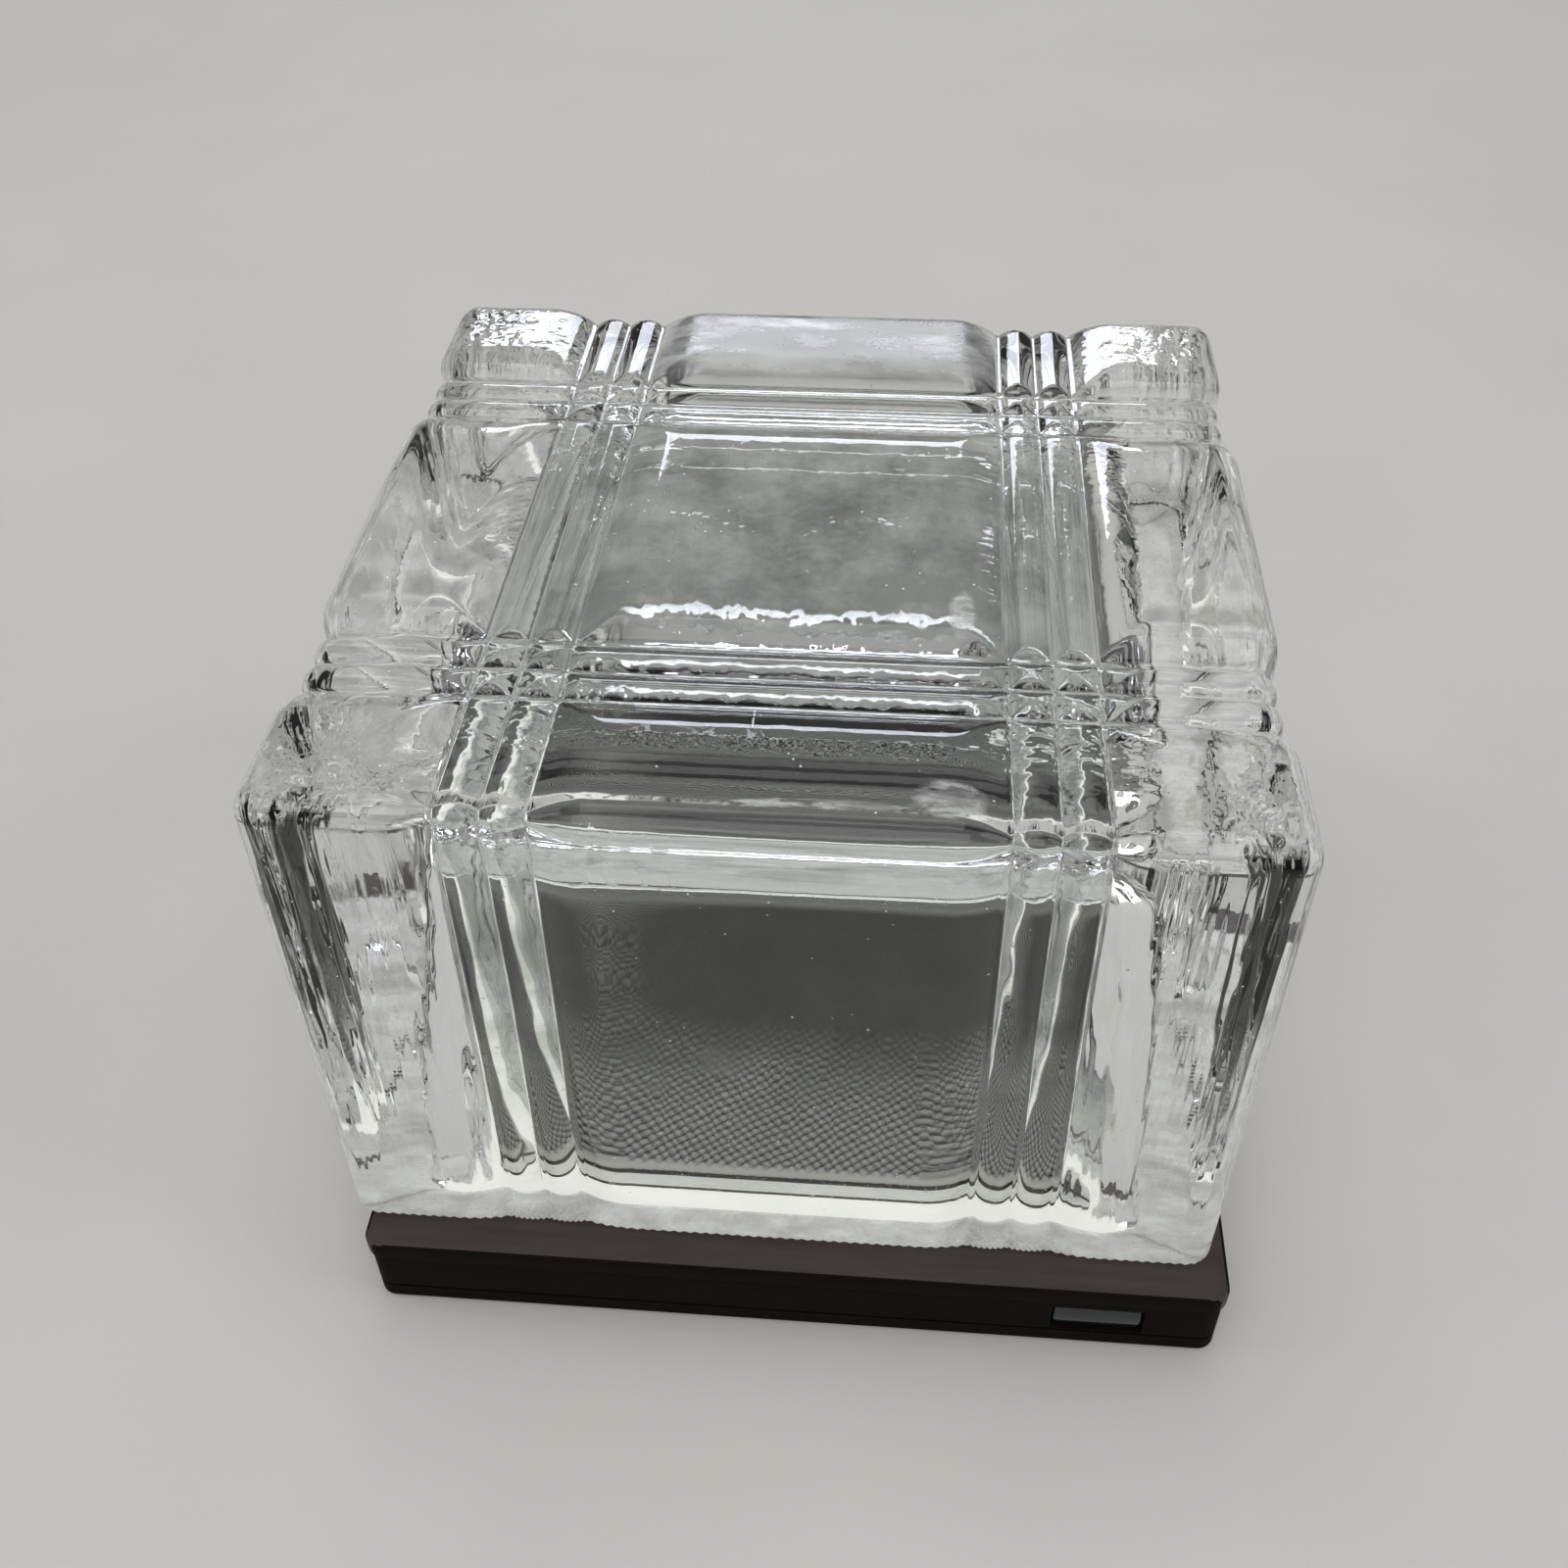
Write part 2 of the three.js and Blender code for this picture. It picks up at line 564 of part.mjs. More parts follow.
// Its face has a level ridge along the middle, from which the halves slope back
function powerButton() {
  const halfWidth = BUTTON_SIZE[0] / 2 - BUTTON_CLEARANCE;
  const halfHeight = BUTTON_SIZE[1] / 2 - BUTTON_CLEARANCE;
  const front = BODY_FRONT + BUTTON_INSET;
  const back = BUTTON_BACK;
  const section = new THREE.Shape();
  section.moveTo(front, 0);
  section.lineTo(front + BUTTON_RIDGE, halfHeight);
  section.lineTo(back, halfHeight);
  section.lineTo(back, -halfHeight);
  section.lineTo(front + BUTTON_RIDGE, -halfHeight);
  section.closePath();
  // The section lies in Y and Z, and is drawn out along X
  const body = extrude(section, -halfWidth, halfWidth);
  body.applyMatrix4(new THREE.Matrix4().makeBasis(
    new THREE.Vector3(0, 1, 0), new THREE.Vector3(0, 0, 1), new THREE.Vector3(1, 0, 0)));
  const flange = block(
    0, back - FLANGE_THICKNESS / 2, 0, BUTTON_SIZE[0] + FLANGE_SPREAD, FLANGE_THICKNESS, 2 * halfHeight);
  return join(body, flange).translate(BASE_X + BUTTON_X, 0, BUTTON_Z);
}

function switchHousing() {
  const [length, height] = PLUNGER_SIZE;
  const pocketDepth = BUTTON_TRAVEL + PLUNGER_HELD + POCKET_SPARE;
  const housing = block(0, SWITCH_FRONT + SWITCH_SIZE[1] / 2, 0, ...SWITCH_SIZE);
  const pocket = block(
    0, SWITCH_FRONT + (pocketDepth - PAST) / 2, 0,
    length + PLUNGER_CLEARANCE, pocketDepth + PAST, height + PLUNGER_CLEARANCE);
  return cut(housing, pocket).translate(BASE_X + BUTTON_X, 0, BUTTON_Z);
}

function switchPlunger() {
  const front = BUTTON_BACK + GAP;
  const back = SWITCH_FRONT + PLUNGER_HELD;
  const [length, height] = PLUNGER_SIZE;
  return block(BASE_X + BUTTON_X, (front + back) / 2, BUTTON_Z, length, back - front, height);
}

// ---- Screws and feet --------------------------------------------------------------------

// A pan-head screw with a cross slot, from below up into the deck
function caseScrew({ x, y }) {
  const head = COVER_BOTTOM;
  const shoulder = head + SCREW_HEAD_HEIGHT;
  const tip = BODY_TOP + SCREW_BITE;
  const [bevel, bevelHeight] = SCREW_HEAD_BEVEL;
  const [taper, point] = SCREW_POINT;
  const profile = [
    [0, head], [SCREW_HEAD - bevel, head], [SCREW_HEAD, head + bevelHeight], [SCREW_HEAD, shoulder],
    [SCREW_SHANK, shoulder], [SCREW_SHANK, tip - point], [SCREW_SHANK - taper, tip], [0, tip],
  ].map(([r, z]) => new THREE.Vector2(r, z));
  const screw = new THREE.LatheGeometry(profile, 16).rotateX(Math.PI / 2);
  const [length, width, depth] = CROSS_SLOT;
  const slots = [block(0, 0, head, length, width, depth), block(0, 0, head, width, length, depth)];
  return cut(screw, ...slots).translate(BASE_X + x * SCREW_X, y * SCREW_Y, 0);
}

// A round foot with a softened lower edge
function rubberFoot({ x, y }) {
  const profile = [
    [0, 0], [FOOT_RADIUS - FOOT_BEVEL, 0], [FOOT_RADIUS, FOOT_BEVEL],
    [FOOT_RADIUS, FOOT_THICKNESS], [0, FOOT_THICKNESS],
  ].map(([r, z]) => new THREE.Vector2(r, z));
  const foot = new THREE.LatheGeometry(profile, 24).rotateX(Math.PI / 2);
  return foot.translate(BASE_X + x * FOOT_X, y * FOOT_Y, 0);
}

// ---- Materials --------------------------------------------------------------------------

function finish(color, roughness, metalness = 0) {
  return new THREE.MeshStandardMaterial({ color, roughness, metalness });
}

const clearMoulding = finish(0xeef2f1, 0.03);
clearMoulding.transparent = true;
clearMoulding.opacity = 0.35;
const darkSatinPlastic = finish(0x3a2e2e, 0.5);
const blackMattPlastic = finish(0x15100f, 0.7);
const smokedPlastic = finish(0x33383c, 0.15);
const opalPlastic = finish(0xf1f2ee, 0.4);
const greyCloth = finish(0x5c5c5a, 0.95);
const boardLaminate = finish(0xe8eae6, 0.4);
const nickelSteel = finish(0xc4c4c0, 0.3, 1);
const blackZincSteel = finish(0x2a2a2c, 0.4, 1);
const darkRubber = finish(0x1b1b1b, 0.9);
const diodeWhite = finish(0xf6f2d8, 0.3);

// ---- Assembly ---------------------------------------------------------------------------

function piece(name, geometry, material) {
  const mesh = new THREE.Mesh(geometry, material);
  mesh.name = name;
  return mesh;
}

const displayCubeOnBase = new THREE.Group();
displayCubeOnBase.add(
  piece('display_cube', displayCube(), clearMoulding.clone()),
  piece('deck_plate', deckPlate(), darkSatinPlastic.clone()),
  piece('woven_pad', wovenPad(), greyCloth.clone()),
  piece('light_ring', lightRing(), opalPlastic.clone()),
  piece('base_body', baseBody(), blackMattPlastic.clone()),
  piece('bottom_cover', bottomCover(), blackMattPlastic.clone()),
  piece('battery_door', batteryDoor(), blackMattPlastic.clone()),
  piece('bridge_plate', bridgePlate(), nickelSteel.clone()),
  piece('cell_holder', cellHolder(), blackMattPlastic.clone()),
  piece('led_board', ledBoard(), boardLaminate.clone()),
  piece('resistor', resistor(), blackMattPlastic.clone()),
  piece('switch_housing', switchHousing(), blackMattPlastic.clone()),
  piece('switch_plunger', switchPlunger(), opalPlastic.clone()),
  piece('power_button', powerButton(), smokedPlastic.clone()),
);
for (const { name, side } of CELLS) {
  displayCubeOnBase.add(
    piece(`coin_cell_${name}`, coinCell(side), nickelSteel.clone()),
    piece(`cell_contact_${name}`, cellContact(side), nickelSteel.clone()),
  );
}
ledPlaces().forEach((place, i) => {
  displayCubeOnBase.add(piece(`led_${i + 1}`, led(place), diodeWhite.clone()));
});
for (const corner of CORNERS) {
  displayCubeOnBase.add(
    piece(`case_screw_${corner.name}`, caseScrew(corner), blackZincSteel.clone()),
    piece(`rubber_foot_${corner.name}`, rubberFoot(corner), darkRubber.clone()),
  );
}

export default displayCubeOnBase;
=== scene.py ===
import math

import bmesh
import bpy
import numpy as np
from mathutils import Matrix, Vector, noise


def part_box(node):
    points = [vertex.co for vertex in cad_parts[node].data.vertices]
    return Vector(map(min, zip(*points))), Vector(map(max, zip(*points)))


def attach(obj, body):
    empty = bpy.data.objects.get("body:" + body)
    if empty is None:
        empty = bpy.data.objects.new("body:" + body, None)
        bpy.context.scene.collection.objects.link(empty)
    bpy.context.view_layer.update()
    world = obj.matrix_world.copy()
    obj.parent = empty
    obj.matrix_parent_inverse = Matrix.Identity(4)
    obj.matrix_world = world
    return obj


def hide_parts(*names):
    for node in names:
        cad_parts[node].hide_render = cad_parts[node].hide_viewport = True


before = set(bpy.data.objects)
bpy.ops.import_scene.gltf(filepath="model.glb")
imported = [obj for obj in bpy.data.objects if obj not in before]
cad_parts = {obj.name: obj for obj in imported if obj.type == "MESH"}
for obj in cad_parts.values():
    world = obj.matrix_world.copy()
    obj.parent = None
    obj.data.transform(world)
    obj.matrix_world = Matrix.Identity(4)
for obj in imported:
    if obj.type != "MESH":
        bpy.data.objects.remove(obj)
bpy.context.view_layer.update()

# A clear display cube on a slim lit base, at its real size, in metres.
# The cube is a heavy moulded cover, open below. It stands over a low plinth with a woven pad.

scene = bpy.context.scene
MM = 0.001

# ---- Sizes that the looks add to the frame's own ----------------------------------------

CUBE_EDGE = 2.4 * MM  # radius of the cube's outer edges
GRID = 0.5 * MM  # between the lines of its mesh, where a face is flat
VALLEYS = (16.9 * MM, 20.3 * MM, 23.7 * MM)  # the bands' valleys, from the middle of a face
VALLEY_DEPTH = 1.5 * MM
REED_DEPTH = 0.85 * MM
ROLL_WIDTH = 4.6 * MM
BAND_FADE = 1.6 * MM  # over which the bands flatten out towards the rim
BAND_AT_RIM = 0.3  # of their full depth
WALL_AT_RIM = 6.5 * MM
WALL_AT_TOP = 8.8 * MM
TOP_THICKNESS = 8.6 * MM
CAVITY_CORNER = 4 * MM
MOUTH_ROUNDING = 1.2 * MM
RIM_EDGE = 0.3 * MM
KNURL_DEPTH = 0.3 * MM  # of the ridges across the rim that the cube stands on
LAP_DEPTH = 0.1 * MM  # of the level waves in the walls near the ceiling
RIPPLE = 0.14 * MM  # of the chilled inner surface in the corners

DECK_CORNER = 1.8 * MM
DECK_EDGE = 0.25 * MM
PLINTH = 28.8 * MM  # half of its side
RING_WIDTH = 5.9 * MM
RING_CORNER = 3.4 * MM
BODY_CORNER = 1.55 * MM
BODY_WALL = 2 * MM
BUTTON_WINDOW = (8 * MM, 9 * MM, 3.4 * MM)
BUTTON_WIDTH = 7.6 * MM
CREASE = math.radians(35)  # an edge that turns by more than this stays sharp

TOP_SCUFFED = 49 * MM  # above the rim
SCUFFS = (  # across, along, and half of their size each way, from the middle of the top
    (12.6 * MM, -34.0 * MM, 3.4 * MM, 2.6 * MM), (4.0 * MM, -35.2 * MM, 9.0 * MM, 0.7 * MM),
    (13.4 * MM, -12.4 * MM, 1.5 * MM, 3.6 * MM), (7.9 * MM, 8.0 * MM, 0.7 * MM, 0.5 * MM))

THREAD = 0.78 * MM  # from one thread of the pad to the next
THREAD_TURN = math.radians(38)
PAD_CORNER = 2 * MM
PAD_GRID = 260  # points along each side of the pad
BINDING = 0.5 * MM

# ---- Small helpers ----------------------------------------------------------------------


def srgb(code):
    """A hex colour as linear red, green, blue and alpha."""
    parts = [int(code[i:i + 2], 16) / 255 for i in (0, 2, 4)]
    return [p / 12.92 if p <= 0.04045 else ((p + 0.055) / 1.055) ** 2.4 for p in parts] + [1.0]


def node(tree, kind, sockets=None, stops=(), **options):
    """Adds a node with its settings, its colour stops as pairs of a position and a hex colour, and
    a link for each socket that is given another node's output."""
    made = tree.nodes.new(kind)
    for name, value in options.items():
        setattr(made, name, value)
    for number, (position, code) in enumerate(stops):
        held = made.color_ramp.elements
        stop = held[number] if number < len(held) else held.new(position)
        stop.position, stop.color = position, srgb(code)
    for socket, value in (sockets or {}).items():
        if isinstance(value, bpy.types.NodeSocket):
            tree.links.new(value, made.inputs[socket])
        else:
            made.inputs[socket].default_value = value
    return made


def material(name, **settings):
    """A new material with one Principled shader, and where its surface is in the object."""
    made = bpy.data.materials.new(name)
    made.use_nodes = True
    tree = made.node_tree
    shader = tree.nodes["Principled BSDF"]
    for socket, value in settings.items():
        shader.inputs[socket.replace("_", " ")].default_value = value
    place = node(tree, "ShaderNodeTexCoord").outputs["Object"]
    return made, tree, shader, place


def per_mm(size):
    """The scale of a pattern whose features are that many millimetres apart."""
    return 1000 / size


def rising(values, start, over):
    """0 up to the start, then rising to 1 over a distance."""
    return np.clip((values - start) / over, 0, 1)


def falling(values, end, over):
    """1, then falling over a distance to 0 at the end."""
    return np.clip((end - values) / over, 0, 1)


def mesh_object(name, points, faces):
    """A smooth-shaded object from points and faces."""
    mesh = bpy.data.meshes.new(name)
    mesh.from_pydata([tuple(p) for p in points], [], [tuple(f) for f in faces])
    mesh.update()
    mesh.shade_smooth()
    made = bpy.data.objects.new(name, mesh)
    scene.collection.objects.link(made)
    return made


def finish_piece(piece, surface, body, slot, *replaced):
    """Gives a piece its material, unless it has its own, and its body, and hides the CAD nodes
    that it stands for. The slot is not used."""
    if surface:
        piece.data.materials.append(surface)
    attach(piece, body)
    if replaced:
        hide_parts(*replaced)
    return piece


# ---- Materials --------------------------------------------------------------------------


def clear_acrylic():
    """Clear acrylic, moulded: polished by the mould, heavy and bright at its edges, with a faint
    flow ripple, hairlines from dusting, a hazy touch here and there, a few white scuffs, a wispy
    white painted reflection on the back of the top and some specks of dust. Inside, the ceiling and
    the upper walls are tinted grey-green as painted shade, darkening what is seen through them."""
    made, tree, shader, place = material(
        "clear_acrylic_moulded", Base_Color=srgb("fbfdfc"), IOR=1.49, Transmission_Weight=1.0)

    # White marks: specks of dust, scuffs brushed in one direction, and a painted reflection
    cells = node(tree, "ShaderNodeTexVoronoi", {"Vector": place, "Scale": per_mm(1.4)})
    near = node(tree, "ShaderNodeMath", {0: cells.outputs["Distance"], 1: 0.06},
                operation="LESS_THAN")
    chosen = node(tree, "ShaderNodeSeparateColor", {"Color": cells.outputs["Color"]})
    few = node(tree, "ShaderNodeMath", {0: chosen.outputs["Red"], 1: 0.55},
               operation="GREATER_THAN")
    dust = node(tree, "ShaderNodeMath", {0: near.outputs[0], 1: few.outputs[0]},
                operation="MULTIPLY")
    brushed = node(tree, "ShaderNodeMapping", {
        "Vector": place, "Rotation": (0, 0, 0.6), "Scale": (0.3, 1.0, 1.0)})
    grit = node(tree, "ShaderNodeTexNoise", {
        "Vector": brushed.outputs[0], "Scale": per_mm(0.9), "Detail": 8.0, "Roughness": 0.72})
    rubbed = node(tree, "ShaderNodeAttribute", attribute_name="scuff")
    torn = node(tree, "ShaderNodeMath", {0: rubbed.outputs["Fac"], 1: grit.outputs["Fac"]},
                operation="MULTIPLY")
    scuffs = node(tree, "ShaderNodeValToRGB", {"Fac": torn.outputs[0]},
                  stops=[(0.36, "000000"), (0.75, "c4c4c4")])
    wear_and_painted_shade = node(tree, "ShaderNodeMath", {0: scuffs.outputs["Color"], 1: dust.outputs[0]},
                operation="MAXIMUM")
    wisps = node(tree, "ShaderNodeMapping", {"Vector": place, "Scale": (0.35, 1.0, 1.0)})
    wispy = node(tree, "ShaderNodeTexNoise", {
        "Vector": wisps.outputs[0], "Scale": per_mm(3.5), "Detail": 6.0, "Roughness": 0.6})
    wispier = node(tree, "ShaderNodeValToRGB", {"Fac": wispy.outputs["Fac"]},
                   stops=[(0.25, "000000"), (0.75, "ffffff")])
    # Painted reflection: wispy white on the top's back strip
    painted_reflection_share = node(tree, "ShaderNodeAttribute", attribute_name="bloom_and_painted_reflection")
    bloom_and_painted_reflection = node(tree, "ShaderNodeMath", {
        0: painted_reflection_share.outputs["Fac"], 1: wispier.outputs["Color"]}, operation="MULTIPLY")
    marked = node(tree, "ShaderNodeMath", {0: wear_and_painted_shade.outputs[0], 1: bloom_and_painted_reflection.outputs[0]},
                  operation="MAXIMUM")
    clear = node(tree, "ShaderNodeMath", {0: 1.0, 1: marked.outputs[0]}, operation="SUBTRACT")
    tree.links.new(clear.outputs[0], shader.inputs["Transmission Weight"])

    # Painted shade inside: a grey-green tint, thicker in patches, that darkens the view through
    patches = node(tree, "ShaderNodeTexNoise", {
        "Vector": place, "Scale": per_mm(9), "Detail": 8.0, "Roughness": 0.62})
    patchy = node(tree, "ShaderNodeValToRGB", {"Fac": patches.outputs["Fac"]},
                  stops=[(0.38, "8a8a8a"), (0.6, "ffffff")])
    shade_tint_share = node(tree, "ShaderNodeAttribute", attribute_name="shade_tint")
    shade_tint = node(tree, "ShaderNodeMath", {
        0: shade_tint_share.outputs["Fac"], 1: patchy.outputs["Color"]}, operation="MULTIPLY")
    tinted = node(tree, "ShaderNodeMix", {
        "Factor": shade_tint.outputs[0], "A": srgb("fbfdfc"), "B": srgb("8d958d")}, data_type="RGBA")
    tree.links.new(tinted.outputs["Result"], shader.inputs["Base Color"])

    # A polish that hands have dulled in places
    touched = node(tree, "ShaderNodeValToRGB", {"Fac": patches.outputs["Fac"]},
                   stops=[(0.52, "000000"), (0.75, "ffffff")])
    haze = node(tree, "ShaderNodeMix", {0: touched.outputs["Color"], "A": 0.004, "B": 0.11})
    dull = node(tree, "ShaderNodeMath", {0: haze.outputs[0], 1: marked.outputs[0]},
                operation="ADD")
    tree.links.new(dull.outputs[0], shader.inputs["Roughness"])

    # Flow ripple, wrinkles where the mould chilled the melt, then hairlines, which are really
    # finer and are drawn this coarse to show
    flow = node(tree, "ShaderNodeTexNoise", {"Vector": place, "Scale": per_mm(7), "Detail": 2.0})
    flowing = node(tree, "ShaderNodeBump", {
        "Height": flow.outputs["Fac"], "Strength": 0.5, "Distance": 0.05 * MM})
    drawn = node(tree, "ShaderNodeMapping", {"Vector": place, "Scale": (1.0, 1.0, 0.11)})
    wrinkles = node(tree, "ShaderNodeTexNoise", {
        "Vector": drawn.outputs[0], "Scale": per_mm(1.9), "Detail": 2.0})
    chilled = node(tree, "ShaderNodeAttribute", attribute_name="chill")
    wrinkled = node(tree, "ShaderNodeBump", {
        "Height": wrinkles.outputs["Fac"], "Strength": chilled.outputs["Fac"],
        "Distance": 0.4 * MM, "Normal": flowing.outputs[0]})
    along = node(tree, "ShaderNodeMapping", {
        "Vector": place, "Rotation": (0.3, 0.2, 0.7), "Scale": (1.0, 0.04, 1.0)})
    lines = node(tree, "ShaderNodeTexNoise", {
        "Vector": along.outputs[0], "Scale": per_mm(0.35), "Detail": 1.0})
    hairlines = node(tree, "ShaderNodeValToRGB", {"Fac": lines.outputs["Fac"]},
                     stops=[(0.7, "000000"), (0.74, "ffffff")])
    scratched = node(tree, "ShaderNodeBump", {
        "Height": hairlines.outputs["Color"], "Strength": 0.25, "Distance": 0.01 * MM,
        "Normal": wrinkled.outputs[0]})
    tree.links.new(scratched.outputs[0], shader.inputs["Normal"])

    # Lamps shine in through the walls, so that what is inside is lit
    lamps = node(tree, "ShaderNodeLightPath").outputs["Is Shadow Ray"]
    through = node(tree, "ShaderNodeBsdfTransparent", {"Color": srgb("cacac8")})
    mixed = node(tree, "ShaderNodeMixShader", {
        0: lamps, 1: shader.outputs["BSDF"], 2: through.outputs["BSDF"]})
    tree.links.new(mixed.outputs[0], tree.nodes["Material Output"].inputs["Surface"])
    return made


def frosted_acrylic():
    """The same acrylic where the tool is stippled: white and soft, so that light from below
    makes it glow."""
    made, tree, shader, place = material(
        "clear_acrylic_stippled", Base_Color=srgb("ffffff"), IOR=1.49, Transmission_Weight=0.25)
    stipple = node(tree, "ShaderNodeTexVoronoi", {"Vector": place, "Scale": per_mm(0.35)})
    cloud = node(tree, "ShaderNodeTexNoise", {"Vector": place, "Scale": per_mm(2.5), "Detail": 5.0})
    tones = node(tree, "ShaderNodeValToRGB", {"Fac": cloud.outputs["Fac"]},
                 stops=[(0.3, "d2d0cc"), (0.7, "fffffd")])
    tree.links.new(tones.outputs["Color"], shader.inputs["Base Color"])
    soft = node(tree, "ShaderNodeMix", {0: stipple.outputs["Distance"], "A": 0.35, "B": 0.65})
    tree.links.new(soft.outputs[0], shader.inputs["Roughness"])
    bump = node(tree, "ShaderNodeBump", {
        "Height": stipple.outputs["Distance"], "Strength": 0.6, "Distance": 0.1 * MM})
    tree.links.new(bump.outputs[0], shader.inputs["Normal"])
    return made


def satin_abs():
    """Dark plum-brown ABS, moulded against a fine satin tool: an even soft sheen with a faint draw
    in the direction in which it filled, and a lighter rub here and there. The tool's grain is
    finer than this, and is drawn so coarse to show."""
    made, tree, shader, place = material(
        "dark_abs_satin_moulded", IOR=1.53, Specular_IOR_Level=0.35)
    drawn = node(tree, "ShaderNodeMapping", {"Vector": place, "Scale": (0.06, 1.0, 1.0)})
    streaks = node(tree, "ShaderNodeTexNoise", {
        "Vector": drawn.outputs[0], "Scale": per_mm(0.9), "Detail": 3.0})
    grain = node(tree, "ShaderNodeTexNoise", {
        "Vector": place, "Scale": per_mm(0.22), "Detail": 2.0})
    tones = node(tree, "ShaderNodeValToRGB", {"Fac": streaks.outputs["Fac"]},
                 stops=[(0.25, "322628"), (0.8, "413536")])
    tree.links.new(tones.outputs["Color"], shader.inputs["Base Color"])
    sheen = node(tree, "ShaderNodeMix", {0: streaks.outputs["Fac"], "A": 0.38, "B": 0.56})
    tree.links.new(sheen.outputs[0], shader.inputs["Roughness"])
    bump = node(tree, "ShaderNodeBump", {
        "Height": grain.outputs["Fac"], "Strength": 0.35, "Distance": 0.02 * MM})
    tree.links.new(bump.outputs[0], shader.inputs["Normal"])
    return made


def matt_abs():
    """Near-black ABS, moulded against a spark-eroded tool: a dull, fine, pebbled surface. The
    pebbles are really about half as large, and are drawn so coarse to show."""
    made, tree, shader, place = material("black_abs_spark_eroded", IOR=1.53, Specular_IOR_Level=0.1)
    pebbles = node(tree, "ShaderNodeTexVoronoi", {"Vector": place, "Scale": per_mm(0.3)})
    cloud = node(tree, "ShaderNodeTexNoise", {"Vector": place, "Scale": per_mm(6), "Detail": 3.0})
    tones = node(tree, "ShaderNodeValToRGB", {"Fac": cloud.outputs["Fac"]},
                 stops=[(0.3, "0d0706"), (0.75, "150d0c")])
    tree.links.new(tones.outputs["Color"], shader.inputs["Base Color"])
    dull = node(tree, "ShaderNodeMix", {0: cloud.outputs["Fac"], "A": 0.7, "B": 0.9})
    tree.links.new(dull.outputs[0], shader.inputs["Roughness"])
    bump = node(tree, "ShaderNodeBump", {
        "Height": pebbles.outputs["Distance"], "Strength": 0.4, "Distance": 0.03 * MM})
    tree.links.new(bump.outputs[0], shader.inputs["Normal"])
    return made


def smoked_polycarbonate():
    """Smoke-grey polycarbonate, polished: a glossy bar with fine finger wear along its ridge."""
    made, tree, shader, place = material("smoked_polycarbonate_polished", IOR=1.585)
    along = node(tree, "ShaderNodeMapping", {"Vector": place, "Scale": (0.12, 1.0, 1.0)})
    wear = node(tree, "ShaderNodeTexNoise", {
        "Vector": along.outputs[0], "Scale": per_mm(0.5), "Detail": 3.0})
    tones = node(tree, "ShaderNodeValToRGB", {"Fac": wear.outputs["Fac"]},
                 stops=[(0.3, "1c2124"), (0.8, "2e3337")])
    tree.links.new(tones.outputs["Color"], shader.inputs["Base Color"])
    gloss = node(tree, "ShaderNodeMix", {0: wear.outputs["Fac"], "A": 0.08, "B": 0.24})
    tree.links.new(gloss.outputs[0], shader.inputs["Roughness"])
    bump = node(tree, "ShaderNodeBump", {
        "Height": wear.outputs["Fac"], "Strength": 0.1, "Distance": 0.01 * MM})
    tree.links.new(bump.outputs[0], shader.inputs["Normal"])
    return made


def opal_acrylic(glow):
    """Opal acrylic, extruded: milky and soft-edged, and it glows where the diodes are under it."""
    made, tree, shader, place = material(
        "opal_acrylic_extruded", IOR=1.49, Emission_Color=srgb("fdf9f2"), Emission_Strength=glow)
    cloud = node(tree, "ShaderNodeTexNoise", {"Vector": place, "Scale": per_mm(3), "Detail": 3.0})
    tones = node(tree, "ShaderNodeValToRGB", {"Fac": cloud.outputs["Fac"]},
                 stops=[(0.3, "eceee9"), (0.8, "fbfbf8")])
    tree.links.new(tones.outputs["Color"], shader.inputs["Base Color"])
    soft = node(tree, "ShaderNodeMix", {0: cloud.outputs["Fac"], "A": 0.3, "B": 0.5})
    tree.links.new(soft.outputs[0], shader.inputs["Roughness"])
    bump = node(tree, "ShaderNodeBump", {
        "Height": cloud.outputs["Fac"], "Strength": 0.2, "Distance": 0.02 * MM})
    tree.links.new(bump.outputs[0], shader.inputs["Normal"])
    return made


